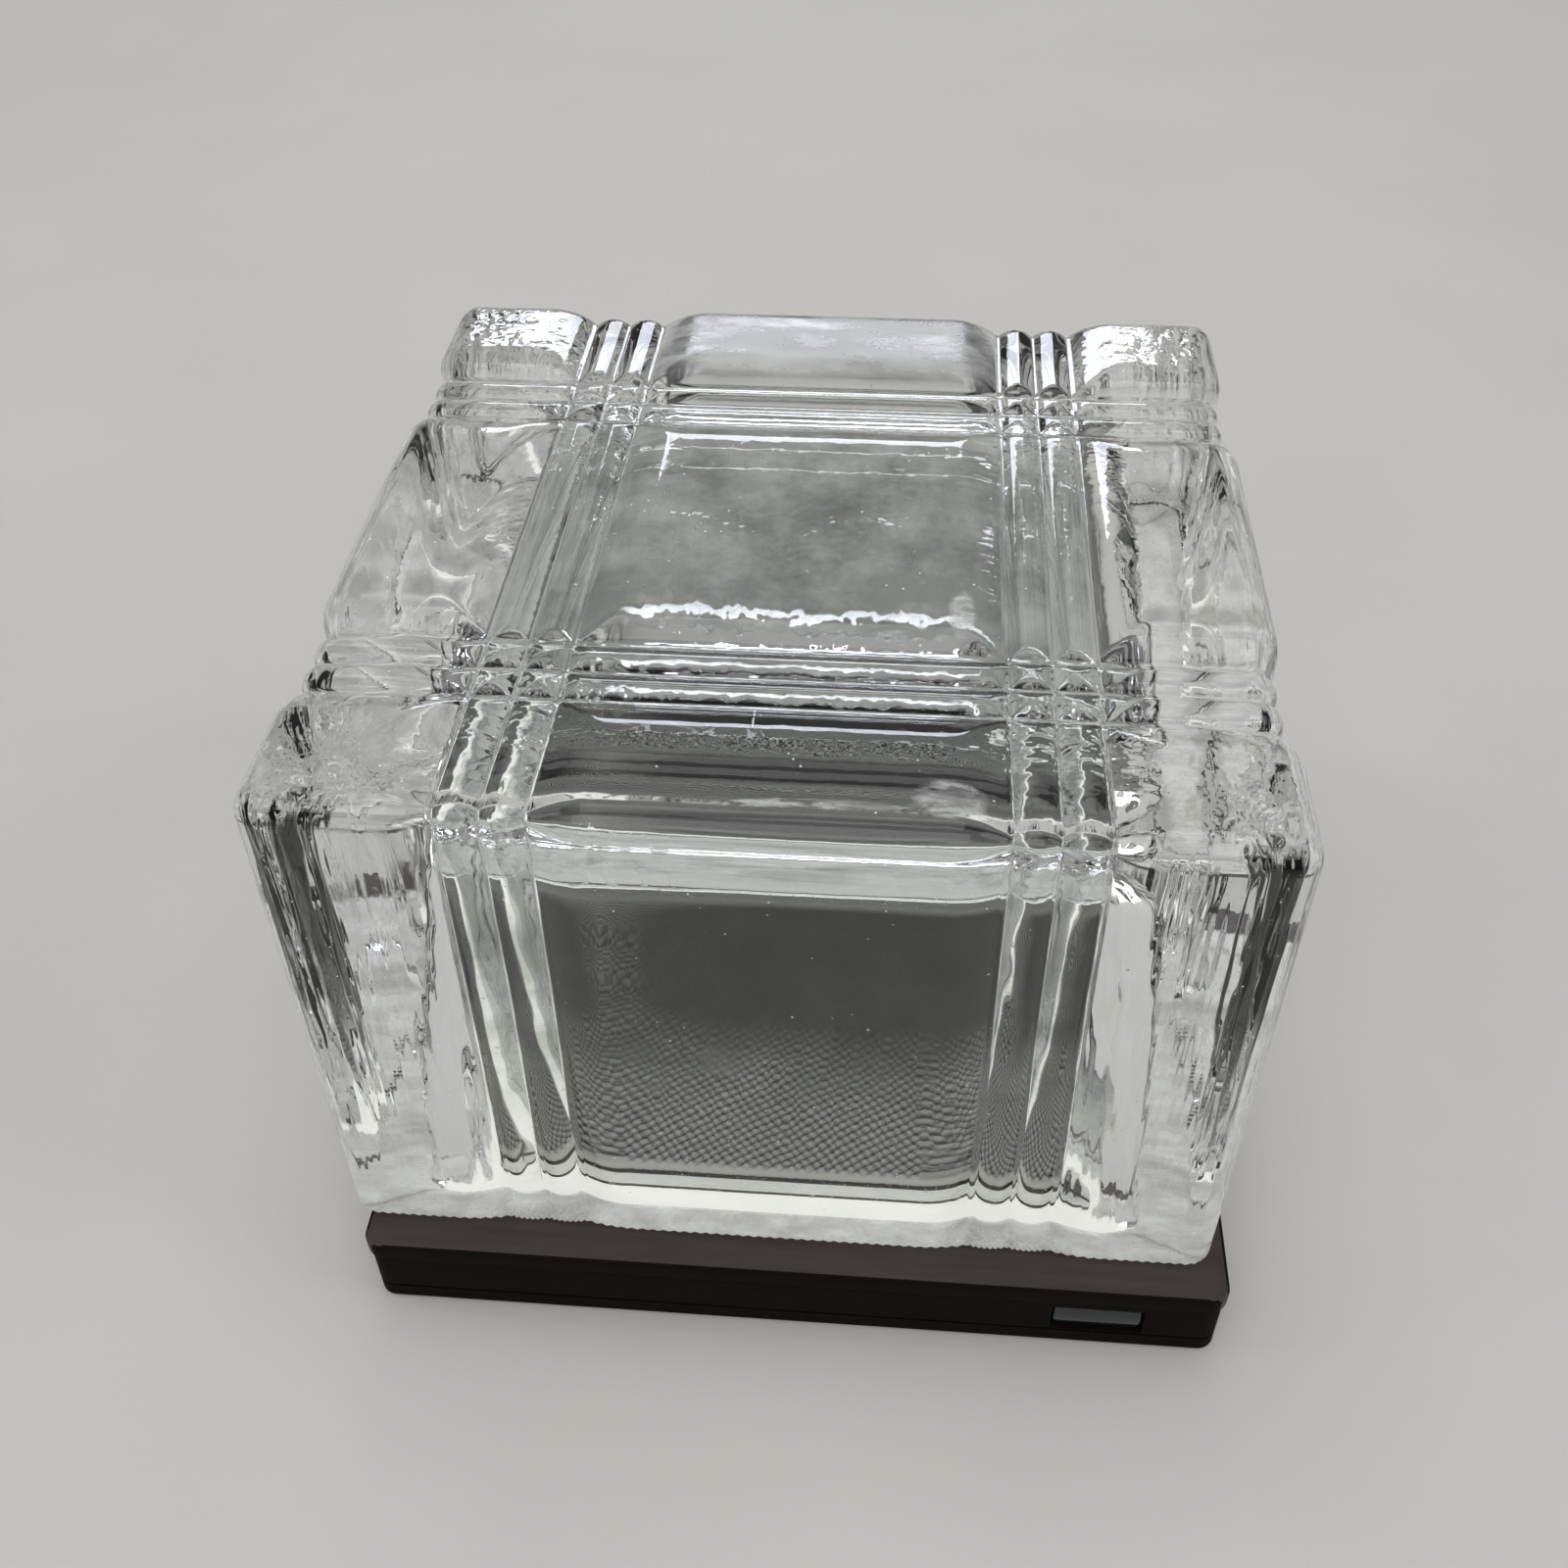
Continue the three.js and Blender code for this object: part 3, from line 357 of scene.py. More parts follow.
def charcoal_weave():
    """Charcoal cotton, plain woven, with fibres across it. Each thread is painted pale where it
    rises and near-black in the gaps, as painted highlight and shade, and the middle is painted
    darker as shade. The fibres are really far finer, and are drawn so coarse to show."""
    made, tree, shader, place = material(
        "charcoal_cotton_plain_woven", IOR=1.5, Specular_IOR_Level=0.2)
    height = node(tree, "ShaderNodeAttribute", attribute_name="thread_height")
    # Painted highlight and shade: pale where a thread rises, near-black in the gaps between threads
    painted_thread_shading = node(tree, "ShaderNodeValToRGB", {"Fac": height.outputs["Fac"]},
                 stops=[(0.35, "121211"), (1.0, "c4c4be")])
    fibres = node(tree, "ShaderNodeTexNoise", {
        "Vector": place, "Scale": per_mm(0.12), "Detail": 2.0})
    fluff = node(tree, "ShaderNodeValToRGB", {"Fac": fibres.outputs["Fac"]},
                 stops=[(0.2, "b0b0ae"), (0.8, "ffffff")])
    tone = node(tree, "ShaderNodeMix", {
        "Factor": 1.0, "A": painted_thread_shading.outputs["Color"], "B": fluff.outputs["Color"]},
        data_type="RGBA", blend_type="MULTIPLY")
    # Painted shade: the middle of the pad darkened to near-black
    wear_and_painted_shade = node(tree, "ShaderNodeAttribute", attribute_name="wear_and_painted_shade")
    shaded_middle = node(tree, "ShaderNodeMix", {
        "Factor": wear_and_painted_shade.outputs["Fac"], "A": tone.outputs["Result"], "B": srgb("0a0b09")},
        data_type="RGBA")
    bound = node(tree, "ShaderNodeAttribute", attribute_name="bound")
    edged = node(tree, "ShaderNodeMix", {
        "Factor": bound.outputs["Fac"], "A": shaded_middle.outputs["Result"], "B": srgb("c6c6c0")},
        data_type="RGBA")
    tree.links.new(edged.outputs["Result"], shader.inputs["Base Color"])
    dull = node(tree, "ShaderNodeMix", {0: fibres.outputs["Fac"], "A": 0.8, "B": 1.0})
    tree.links.new(dull.outputs[0], shader.inputs["Roughness"])
    bump = node(tree, "ShaderNodeBump", {
        "Height": fibres.outputs["Fac"], "Strength": 0.6, "Distance": 0.05 * MM})
    tree.links.new(bump.outputs[0], shader.inputs["Normal"])
    return made


def white_laminate():
    """Glass-epoxy laminate, white masked: slightly glossy, with the weave just showing."""
    made, tree, shader, place = material("epoxy_laminate_white_masked", IOR=1.5)
    weave = node(tree, "ShaderNodeTexChecker", {
        "Vector": place, "Scale": per_mm(0.6), "Color1": srgb("e6e9e2"), "Color2": srgb("dadfd6")})
    tree.links.new(weave.outputs["Color"], shader.inputs["Base Color"])
    cloud = node(tree, "ShaderNodeTexNoise", {"Vector": place, "Scale": per_mm(2)})
    soft = node(tree, "ShaderNodeMix", {0: cloud.outputs["Fac"], "A": 0.25, "B": 0.45})
    tree.links.new(soft.outputs[0], shader.inputs["Roughness"])
    return made


def plated_metal(name, dark, light, smooth, rough):
    """Sheet steel, plated: a bright metal with rolling lines and a little tarnish. The lines are
    really finer, and are drawn so coarse to show."""
    made, tree, shader, place = material(name, Metallic=1.0)
    along = node(tree, "ShaderNodeMapping", {"Vector": place, "Scale": (1.0, 0.08, 1.0)})
    lines = node(tree, "ShaderNodeTexNoise", {
        "Vector": along.outputs[0], "Scale": per_mm(0.25), "Detail": 3.0})
    tones = node(tree, "ShaderNodeValToRGB", {"Fac": lines.outputs["Fac"]},
                 stops=[(0.25, dark), (0.8, light)])
    tree.links.new(tones.outputs["Color"], shader.inputs["Base Color"])
    sheen = node(tree, "ShaderNodeMix", {0: lines.outputs["Fac"], "A": smooth, "B": rough})
    tree.links.new(sheen.outputs[0], shader.inputs["Roughness"])
    bump = node(tree, "ShaderNodeBump", {
        "Height": lines.outputs["Fac"], "Strength": 0.15, "Distance": 0.01 * MM})
    tree.links.new(bump.outputs[0], shader.inputs["Normal"])
    return made


def moulded_rubber():
    """Synthetic rubber, moulded: black going grey with bloom, and quite dull."""
    made, tree, shader, place = material("black_rubber_moulded", IOR=1.52)
    bloom_and_painted_reflection = node(tree, "ShaderNodeTexNoise", {"Vector": place, "Scale": per_mm(1.5), "Detail": 4.0})
    tones = node(tree, "ShaderNodeValToRGB", {"Fac": bloom_and_painted_reflection.outputs["Fac"]},
                 stops=[(0.3, "161616"), (0.8, "2b2b2a")])
    tree.links.new(tones.outputs["Color"], shader.inputs["Base Color"])
    dull = node(tree, "ShaderNodeMix", {0: bloom_and_painted_reflection.outputs["Fac"], "A": 0.75, "B": 0.95})
    tree.links.new(dull.outputs[0], shader.inputs["Roughness"])
    bump = node(tree, "ShaderNodeBump", {
        "Height": bloom_and_painted_reflection.outputs["Fac"], "Strength": 0.3, "Distance": 0.03 * MM})
    tree.links.new(bump.outputs[0], shader.inputs["Normal"])
    return made


def diode_epoxy():
    """A diode's white package with its pale yellow lens, cast in epoxy."""
    made, tree, shader, place = material("diode_epoxy_cast", IOR=1.5)
    cloud = node(tree, "ShaderNodeTexNoise", {"Vector": place, "Scale": per_mm(0.5)})
    tones = node(tree, "ShaderNodeValToRGB", {"Fac": cloud.outputs["Fac"]},
                 stops=[(0.3, "f3ecc6"), (0.8, "faf6e2")])
    tree.links.new(tones.outputs["Color"], shader.inputs["Base Color"])
    gloss = node(tree, "ShaderNodeMix", {0: cloud.outputs["Fac"], "A": 0.15, "B": 0.35})
    tree.links.new(gloss.outputs[0], shader.inputs["Roughness"])
    return made


# ---- The clear cube ---------------------------------------------------------------------


def band_depth(place):
    """How deep the moulded bands lie below a face, at a place across it."""
    x = np.abs(place)
    depth = np.zeros_like(x)
    crown = VALLEY_DEPTH - REED_DEPTH
    for start, end in zip(VALLEYS, VALLEYS[1:]):
        half = (end - start) / 2
        radius = (half ** 2 + crown ** 2) / (2 * crown)
        off = np.clip(x - (start + end) / 2, -half, half)
        reed = VALLEY_DEPTH - (np.sqrt(radius ** 2 - off ** 2) - (radius - crown))
        depth = np.where((x >= start) & (x <= end), reed, depth)
    radius = (ROLL_WIDTH ** 2 + VALLEY_DEPTH ** 2) / (2 * VALLEY_DEPTH)
    for valley, side in ((VALLEYS[0], -1), (VALLEYS[-1], 1)):
        away = (x - valley) * side
        roll = radius - np.sqrt(radius ** 2 - np.clip(ROLL_WIDTH - away, 0, ROLL_WIDTH) ** 2)
        depth = np.where((away > 0) & (away < ROLL_WIDTH), roll, depth)
    return depth


def stations(half, edge):
    """The grid lines across a face: close on its rounded edges and bands, and even between."""
    lines = [half - edge + edge * math.sin(a) for a in np.linspace(0, math.pi / 2, 9)]
    stops = [0, VALLEYS[0] - ROLL_WIDTH, *VALLEYS, VALLEYS[2] + ROLL_WIDTH, half - edge]
    steps = [None, 10, 14, 14, 10, None]
    for start, end, count in zip(stops, stops[1:], steps):
        count = count or 2 * math.ceil((end - start) / GRID / 2)
        lines.extend(np.linspace(start, end, count + 1))
    positive = np.unique(np.round(lines, 9))
    return np.concatenate([-positive[:0:-1], positive])


def open_box(across, up, place_point):
    """A box without its underside, as a grid on each of its five faces. place_point turns points
    on the plain box into points on the surface. Returns points, faces and the lower outline."""
    points, faces, known = [], [], {}

    def vertex(x, y, z):
        key = (round(x, 8), round(y, 8), round(z, 8))
        if key not in known:
            known[key] = len(points)
            points.append(key)
        return known[key]

    def grid(first, second, place):
        rows = [[vertex(*place(a, b)) for b in second] for a in first]
        for row, following in zip(rows, rows[1:]):
            for i in range(len(second) - 1):
                faces.append((row[i], following[i], following[i + 1], row[i + 1]))

    half, top = across[-1], up[-1]
    grid(across, across, lambda a, b: (a, b, top))
    grid(across, up, lambda a, b: (half, a, b))
    grid(up, across, lambda a, b: (-half, b, a))
    grid(up, across, lambda a, b: (b, half, a))
    grid(across, up, lambda a, b: (a, -half, b))
    low = up[0]
    outline = [(x, -half) for x in across[:-1]] + [(half, y) for y in across[:-1]]
    outline += [(x, half) for x in across[:0:-1]] + [(-half, y) for y in across[:0:-1]]
    rim = [known[(round(x, 8), round(y, 8), round(low, 8))] for x, y in outline]
    return place_point(np.array(points)), faces, rim


def rounded(points, half, radius):
    """Points on a box as points on that box with rounded edges, with the surface's normals."""
    inside = np.array(half) - radius
    core = np.clip(points, -inside, inside)
    normal = points - core
    normal /= np.maximum(np.linalg.norm(normal, axis=1, keepdims=True), 1e-12)
    return core + normal * radius, normal


def rippled(points, size, seed):
    """Smooth noise at each point, in the range of about -1 to 1."""
    shift = Vector((seed, 2 * seed, 3 * seed))
    scale = Vector(size)
    return np.array([
        noise.noise(Vector((p[0] / scale.x, p[1] / scale.y, p[2] / scale.z)) + shift)
        for p in points])


def outer_surface(side, height):
    """The cube's top and sides, with their bands, down to the knurled edge of the rim."""
    half = side / 2
    across = stations(half, CUBE_EDGE)

    def place(points):
        # The box goes on below the rim, so that only its upper edges are rounded here
        surface, normal = rounded(points, (half, half, height), CUBE_EDGE)
        depth = np.maximum(band_depth(points[:, 0]), band_depth(points[:, 1]))
        depth *= BAND_AT_RIM + (1 - BAND_AT_RIM) * rising(points[:, 2], 0, BAND_FADE)
        depth += 0.02 * MM * (1 + rippled(points, (9 * MM, 9 * MM, 22 * MM), 3.1))
        low = np.clip(RIM_EDGE - surface[:, 2], 0, None)
        depth += RIM_EDGE - np.sqrt(RIM_EDGE ** 2 - low ** 2)
        surface -= normal * depth[:, None]
        # Every second line of the grid is a groove of the knurl across the rim
        on_side = np.abs(points[:, 0]) > np.abs(points[:, 1])
        along = np.where(on_side, points[:, 1], points[:, 0])
        groove = np.searchsorted(across, along - 0.01 * MM) % 2
        surface[:, 2] += KNURL_DEPTH * groove * np.clip(1 - surface[:, 2] / (0.9 * MM), 0, 1)
        return surface

    rim = np.array((0, 0.1, 0.2, 0.3, 0.6, 0.9, 1.6)) * MM
    top = height - CUBE_EDGE * (1 - np.sin(np.linspace(0, math.pi / 2, 9)))
    up = np.concatenate([rim, np.linspace(rim[-1], top[0], 22)[1:-1], top])
    return open_box(across, up, place)


def inner_surface(side, height, across):
    """The cavity's walls and ceiling, on every second line of the outer grid, so that the rims
    meet."""
    ceiling = height - TOP_THICKNESS
    widest = side / 2 - WALL_AT_RIM
    slope = (WALL_AT_TOP - WALL_AT_RIM) / ceiling

    def place(points):
        flat = points.copy()
        flat[:, :2] *= widest / (side / 2)
        centred = flat - np.array((0, 0, ceiling - widest))
        surface, normal = rounded(centred, (widest, widest, widest), CAVITY_CORNER)
        surface[:, 2] += ceiling - widest
        # The corners of the walls in plan have the same rounding, all the way down
        narrowing = 1 - slope * np.clip(surface[:, 2], 0, None) / widest
        surface[:, :2] *= narrowing[:, None]
        corner = np.minimum(np.abs(surface[:, 0]), np.abs(surface[:, 1])) / widest
        share = np.maximum(rising(np.clip(corner, 0, 1), 0.45, 0.4), 0.08)
        rise = rising(surface[:, 2], 0, 4 * MM)
        wave = rippled(points, (3.2 * MM, 3.2 * MM, 16 * MM), 7.7)
        wave += 0.6 * rippled(points, (6 * MM, 6 * MM, 9 * MM), 1.9)
        surface += normal * (RIPPLE * wave * share * rise)[:, None]
        # The walls set in level laps as the mould filled
        laps = rippled(points, (26 * MM, 26 * MM, 2.3 * MM), 5.3)
        lapped = rising(surface[:, 2], 22 * MM, 12 * MM) * (surface[:, 2] < ceiling - 1 * MM)
        surface += normal * (LAP_DEPTH * laps * lapped)[:, None]
        return surface

    up = np.unique(np.concatenate([
        np.linspace(MOUTH_ROUNDING, ceiling - CAVITY_CORNER, 30),
        ceiling - CAVITY_CORNER * (1 - np.sin(np.linspace(0, math.pi / 2, 9)))]))
    return open_box(across, up, place)


def surface_marks(points, first, last):
    """What has happened to the surface at each point, from 0 to 1. From first to last it is the
    inner surface, which has the painted shade, and the outer one has the scuffs and a painted
    reflection."""
    across = np.maximum(np.abs(points[:, 0]), np.abs(points[:, 1]))
    corner = np.minimum(np.abs(points[:, 0]), np.abs(points[:, 1]))
    height = points[:, 2]
    # Painted shade: a tint on the upper walls and the ceiling inside
    on_wall = rising(height, 8 * MM, 12 * MM) * falling(height, 38 * MM, 5 * MM)
    on_ceiling = falling(across, 25 * MM, 4 * MM) * (height > 40 * MM)
    shade_tint = np.zeros(len(points))
    shade_tint[first:last] = np.maximum(on_wall, on_ceiling)[first:last]
    chill = 0.04 + 0.36 * rising(corner, 24 * MM, 7 * MM)
    chill[first:last] = 0.08 + 0.9 * rising(corner[first:last], 12 * MM, 8 * MM)
    on_top = height > TOP_SCUFFED
    scuff = np.zeros(len(points))
    for x, y, length, width in SCUFFS:
        away = ((points[:, 0] - x) / length) ** 2 + ((points[:, 1] - y) / width) ** 2
        scuff = np.maximum(scuff, falling(away, 1.35, 1) * on_top)
    # Painted reflection: wispy white on the top, over the strip at the back
    at_back = rising(points[:, 1], 24 * MM, 3 * MM) * (np.abs(points[:, 0]) < VALLEYS[0])
    bloom_and_painted_reflection = 0.55 * at_back * on_top
    scuff[first:last] = 0
    bloom_and_painted_reflection[first:last] = 0
    marks = {"shade_tint": shade_tint, "chill": chill, "scuff": scuff, "bloom_and_painted_reflection": bloom_and_painted_reflection}
    return {name: values.astype(np.float32) for name, values in marks.items()}


def add_ring(points, faces, ring, level):
    """Adds a ring of points at a new level, with the faces between it and the last ring."""
    new = list(range(len(points), len(points) + len(level)))
    points.extend(level)
    for i in range(len(ring)):
        j = (i + 1) % len(ring)
        faces.append((ring[i], new[i], new[j], ring[j]))
    return new


def close_rim(points, faces, outer_rim, inner_rim):
    """The knurled flat that the cube stands on, and its rounded inner edge, from the outer
    surface's lower outline to the cavity's, which has half as many points."""
    outline = np.array([points[i] for i in outer_rim])
    mouth = np.array([points[i] for i in inner_rim])
    edge = np.repeat(mouth, 2, axis=0)
    edge[1::2] = (mouth + np.roll(mouth, -1, axis=0)) / 2
    outward = outline - edge
    outward[:, 2] = 0
    outward /= np.linalg.norm(outward, axis=1, keepdims=True)
    flat_end = edge.copy()
    flat_end[:, :2] += outward[:, :2] * MOUTH_ROUNDING
    flat_end[:, 2] = 0
    ring = outer_rim
    for share in (0.12, 0.3, 0.5, 0.7, 0.88, 1.0):
        level = outline * (1 - share) + flat_end * share
        level[:, 2] = KNURL_DEPTH * (np.arange(len(level)) % 2) if share < 1 else 0
        ring = add_ring(points, faces, ring, level)
    for share in (0.33, 0.66):
        turn = share * math.pi / 2
        level = edge + outward * MOUTH_ROUNDING * (1 - math.sin(turn))
        level[:, 2] = MOUTH_ROUNDING * (1 - math.cos(turn))
        ring = add_ring(points, faces, ring, level)
    count = len(inner_rim)
    for i in range(count):
        j = (i + 1) % count
        a, b, c = ring[2 * i], ring[2 * i + 1], ring[2 * j]
        faces.append((a, inner_rim[i], b))
        faces.append((b, inner_rim[i], inner_rim[j]))
        faces.append((b, inner_rim[j], c))


def clear_cube():
    """The cube as one closed shell: its outer surface, its cavity and the rim between them."""
    low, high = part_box("display_cube")
    side, height = high.x - low.x, high.z - low.z
    outer, outer_faces, outer_rim = outer_surface(side, height)
    across = stations(side / 2, CUBE_EDGE)[::2]
    inner, inner_faces, inner_rim = inner_surface(side, height, across)

    start, end = len(outer), len(outer) + len(inner)
    points = [*outer, *inner]
    faces = outer_faces + [tuple(start + i for i in reversed(face)) for face in inner_faces]
    close_rim(points, faces, outer_rim, [start + i for i in inner_rim])

    middle = (low + high) / 2
    points = np.array(points)
    cube = mesh_object("clear_cube", points + np.array((middle.x, middle.y, low.z)), faces)
    stippled = [int(max(points[list(face), 2]) < KNURL_DEPTH * 1.1) for face in faces]
    cube.data.materials.append(clear_acrylic())
    cube.data.materials.append(frosted_acrylic())
    cube.data.polygons.foreach_set("material_index", stippled)
    for name, values in surface_marks(points, start, end).items():
        cube.data.attributes.new(name, "FLOAT", "POINT").data.foreach_set("value", values)
    return cube


# ---- The woven pad ----------------------------------------------------------------------


def thread_height(x, y):
    """How high the cloth stands, from 0 to 1: threads that pass over and under each other."""
    bend = 0.16 * THREAD * np.sin(x / (1.9 * MM) + 2 * np.sin(y / (3.1 * MM)))
    sway = 0.16 * THREAD * np.sin(y / (2.3 * MM) + 2 * np.sin(x / (2.7 * MM)))
    u = ((x + bend) * math.cos(THREAD_TURN) + (y + sway) * math.sin(THREAD_TURN)) / THREAD
    v = (-(x + bend) * math.sin(THREAD_TURN) + (y + sway) * math.cos(THREAD_TURN)) / THREAD
    over = (np.floor(u) + np.floor(v)) % 2 == 0
    along, across = np.where(over, u, v) % 1 - 0.5, np.where(over, v, u) % 1 - 0.5
    return (1 - 0.75 * (2 * across) ** 2) * (1 - 0.7 * (2 * along) ** 4)


def round_corners(x, y, half, corner):
    """A square grid with its corners rounded in plan."""
    straight = half - corner
    dx, dy = np.abs(x) - straight, np.abs(y) - straight
    both = (dx > 0) & (dy > 0)
    pull = np.where(both, np.maximum(dx, dy) / np.maximum(np.hypot(dx, dy), 1e-12), 1.0)
    x = np.where(both, np.sign(x) * (straight + dx * pull), x)
    y = np.where(both, np.sign(y) * (straight + dy * pull), y)
    return x, y


def woven_pad():
    """The pad: every thread of its cloth, turned down and bound at its edge, and a flat back."""
    low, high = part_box("woven_pad")
    middle = (low + high) / 2
    half = (high.x - low.x) / 2
    count = PAD_GRID
    line = np.linspace(-half, half, count)
    x, y = round_corners(*np.meshgrid(line, line, indexing="ij"), half, PAD_CORNER)
    edge = half - np.maximum(np.abs(x), np.abs(y))
    turned = 0.6 * MM * (1 - np.sqrt(1 - (1 - rising(edge, 0, 0.9 * MM)) ** 2))
    woven = thread_height(x, y)
    soft = 0.03 * MM * (np.sin(x / (7 * MM)) * np.cos(y / (9 * MM)) - 1)
    z = high.z - 0.3 * MM * (1 - woven) - turned + soft
    top = np.stack([x + middle.x, y + middle.y, z], axis=-1).reshape(-1, 3)
    index = np.arange(count * count).reshape(count, count)
    a, b, c, d = index[:-1, :-1], index[1:, :-1], index[1:, 1:], index[:-1, 1:]
    faces = np.stack([a, b, c, d], axis=-1).reshape(-1, 4).tolist()
    loop = [*index[:, 0], *index[-1, 1:], *index[-2::-1, -1], *index[0, -2:0:-1]]
    under = top[loop].copy()
    under[:, 2] = low.z
    start = len(top)
    for i in range(len(loop)):
        j = (i + 1) % len(loop)
        faces.append((loop[i], start + i, start + j, loop[j]))
    faces.append(tuple(start + i for i in reversed(range(len(loop)))))
    pad = mesh_object("charcoal_pad", np.concatenate([top, under]), faces)

    # Painted shade: strongest in the middle of the pad, fading out towards its edges
    distance = np.sqrt((x / (21 * MM)) ** 4 + (y / (12 * MM)) ** 4) ** 0.5
    wear_and_painted_shade = 0.97 * falling(distance, 1.35, 0.55)
    bound = falling(edge, 1.6 * BINDING, BINDING)
    for name, values in (("thread_height", woven), ("wear_and_painted_shade", wear_and_painted_shade), ("bound", bound)):
        flat = np.concatenate([values.reshape(-1), np.zeros(len(loop))]).astype(np.float32)
        pad.data.attributes.new(name, "FLOAT", "POINT").data.foreach_set("value", flat)
    return pad


# ---- The base's visible shells ----------------------------------------------------------


def rounded_ring(half_x, half_y, radius, z, corner_points=12):
    """One level of a lofted shell: the outline of a rounded rectangle."""
    ring = []
    for quarter, (sx, sy) in enumerate(((1, 1), (-1, 1), (-1, -1), (1, -1))):
        for turn in np.linspace(0, math.pi / 2, corner_points):
            angle = quarter * math.pi / 2 + turn
            ring.append((sx * (half_x - radius) + radius * math.cos(angle),
                         sy * (half_y - radius) + radius * math.sin(angle), z))
    return ring


def loft(name, rings, centre, closed=False):
    """A shell through rings with the same number of points, capped or closed round."""
    count = len(rings[0])
    points = [Vector(p) + Vector((centre.x, centre.y, 0)) for ring in rings for p in ring]
    faces = []
    for level in range(len(rings) if closed else len(rings) - 1):
        low, high = level * count, ((level + 1) % len(rings)) * count
        for i in range(count):
            j = (i + 1) % count
            faces.append((low + i, low + j, high + j, high + i))
    if not closed:
        faces.append(tuple(reversed(range(count))))
        faces.append(tuple((len(rings) - 1) * count + i for i in range(count)))
    made = mesh_object(name, points, faces)
    made.data.set_sharp_from_angle(angle=CREASE)
    return made


def edge_arc(half_x, half_y, corner, z, radius, outward=True, up=True, steps=4):
    """Rings that turn a shell's edge over, from its side to its top face or back."""
    rings = []
    for turn in np.linspace(0, math.pi / 2, steps + 1):
        inset = radius * (1 - math.cos(turn))
        rise = radius * (1 - math.sin(turn))
        rings.append(rounded_ring(
            half_x - inset, half_y - inset, max(corner - inset, 0.05 * MM),
            z - rise if up else z + rise))
    return rings if outward else rings[::-1]


def deck():
    """The deck: a crisp softened edge, a groove for the opal ring, and the plinth."""
    low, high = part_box("deck_plate")
    ring_low, ring_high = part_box("light_ring")
    centre = (low + high) / 2
    half_x, half_y = (high.x - low.x) / 2, (high.y - low.y) / 2
    top = ring_high.z + 0.05 * MM
    bottom = ring_low.z - 0.15 * MM
    groove = (ring_high.x - ring_low.x) / 2 + 0.15 * MM
    inner = groove - (RING_WIDTH + 0.3 * MM)
    rings = edge_arc(half_x, half_y, DECK_CORNER, low.z, DECK_EDGE, outward=False, up=False)
    rings += edge_arc(half_x, half_y, DECK_CORNER, top, 0.3 * MM)
    rings += [rounded_ring(groove, groove, 3.6 * MM, z) for z in (top, bottom)]
    rings += [rounded_ring(inner, inner, 1.4 * MM, z) for z in (bottom, top)]
    rings += [rounded_ring(PLINTH + 0.1 * MM, PLINTH + 0.1 * MM, 3 * MM, top)]
    rings += edge_arc(PLINTH, PLINTH, 3 * MM, high.z, 0.2 * MM)
    plate = loft("satin_deck", rings, centre)
    for surface in (satin, matt, opal_acrylic(0.0)):
        plate.data.materials.append(surface)
    for face in plate.data.polygons:
        x, y = abs(face.center.x - centre.x), abs(face.center.y)
        on_trim = PLINTH - 0.3 * MM < max(x, y) < inner + 0.01 * MM
        # Its edge takes the near-black, dull material of the wall below as painted shade, and the
        # plinth has an opal trim
        if x > half_x - DECK_EDGE or y > half_y - DECK_EDGE:
            face.material_index = 1
        elif on_trim and face.center.z > top - 0.01 * MM:
            face.material_index = 2
    return plate


def opal_ring():
    """The ring: a flat opal strip with softened edges, round the plinth."""
    low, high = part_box("light_ring")
    centre = (low + high) / 2
    outer = (high.x - low.x) / 2
    inner = outer - RING_WIDTH
    soft = 0.15 * MM
    rings = [rounded_ring(outer, outer, RING_CORNER, low.z)]
    rings += edge_arc(outer, outer, RING_CORNER, high.z, soft)
    rings += [rounded_ring(inner + soft, inner + soft, 1.7 * MM, high.z)]
    rings += [rounded_ring(inner, inner, 1.6 * MM, z) for z in (high.z - soft, low.z)]
    return loft("opal_ring", rings, centre, closed=True)


def cut_window(shell, centre, size):
    """Cuts a box out of a shell."""
    cutter = bmesh.new()
    bmesh.ops.create_cube(
        cutter, size=1.0, matrix=Matrix.Translation(centre) @ Matrix.Diagonal((*size, 1)))
    mesh = bpy.data.meshes.new("window")
    cutter.to_mesh(mesh)
    cutter.free()
    tool = bpy.data.objects.new("window", mesh)
    scene.collection.objects.link(tool)
    boolean = shell.modifiers.new("window", "BOOLEAN")
    boolean.operation, boolean.solver, boolean.object = "DIFFERENCE", "EXACT", tool
    bpy.context.view_layer.update()
    graph = bpy.context.evaluated_depsgraph_get()
    made = bpy.data.meshes.new_from_object(shell.evaluated_get(graph))
    shell.modifiers.clear()
    shell.data = made
    bpy.data.objects.remove(tool)


def body_wall():
    """The wall under the deck, with the button's window in its front."""
    low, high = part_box("base_body")
    centre = (low + high) / 2
    half_x, half_y = (high.x - low.x) / 2, (high.y - low.y) / 2
    rings = edge_arc(half_x, half_y, BODY_CORNER, low.z, 0.2 * MM, outward=False, up=False)
    rings += edge_arc(half_x, half_y, BODY_CORNER, high.z, 0.2 * MM)
    rings += [rounded_ring(half_x - BODY_WALL, half_y - BODY_WALL, 1.5 * MM, z)
              for z in (high.z, low.z)]
    shell = loft("matt_body_wall", rings, centre, closed=True)
    button_low, button_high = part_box("power_button")
    window = (button_low + button_high) / 2
    cut_window(shell, Vector((window.x, low.y, window.z)), BUTTON_WINDOW)
    shell.data.set_sharp_from_angle(angle=CREASE)
    return shell


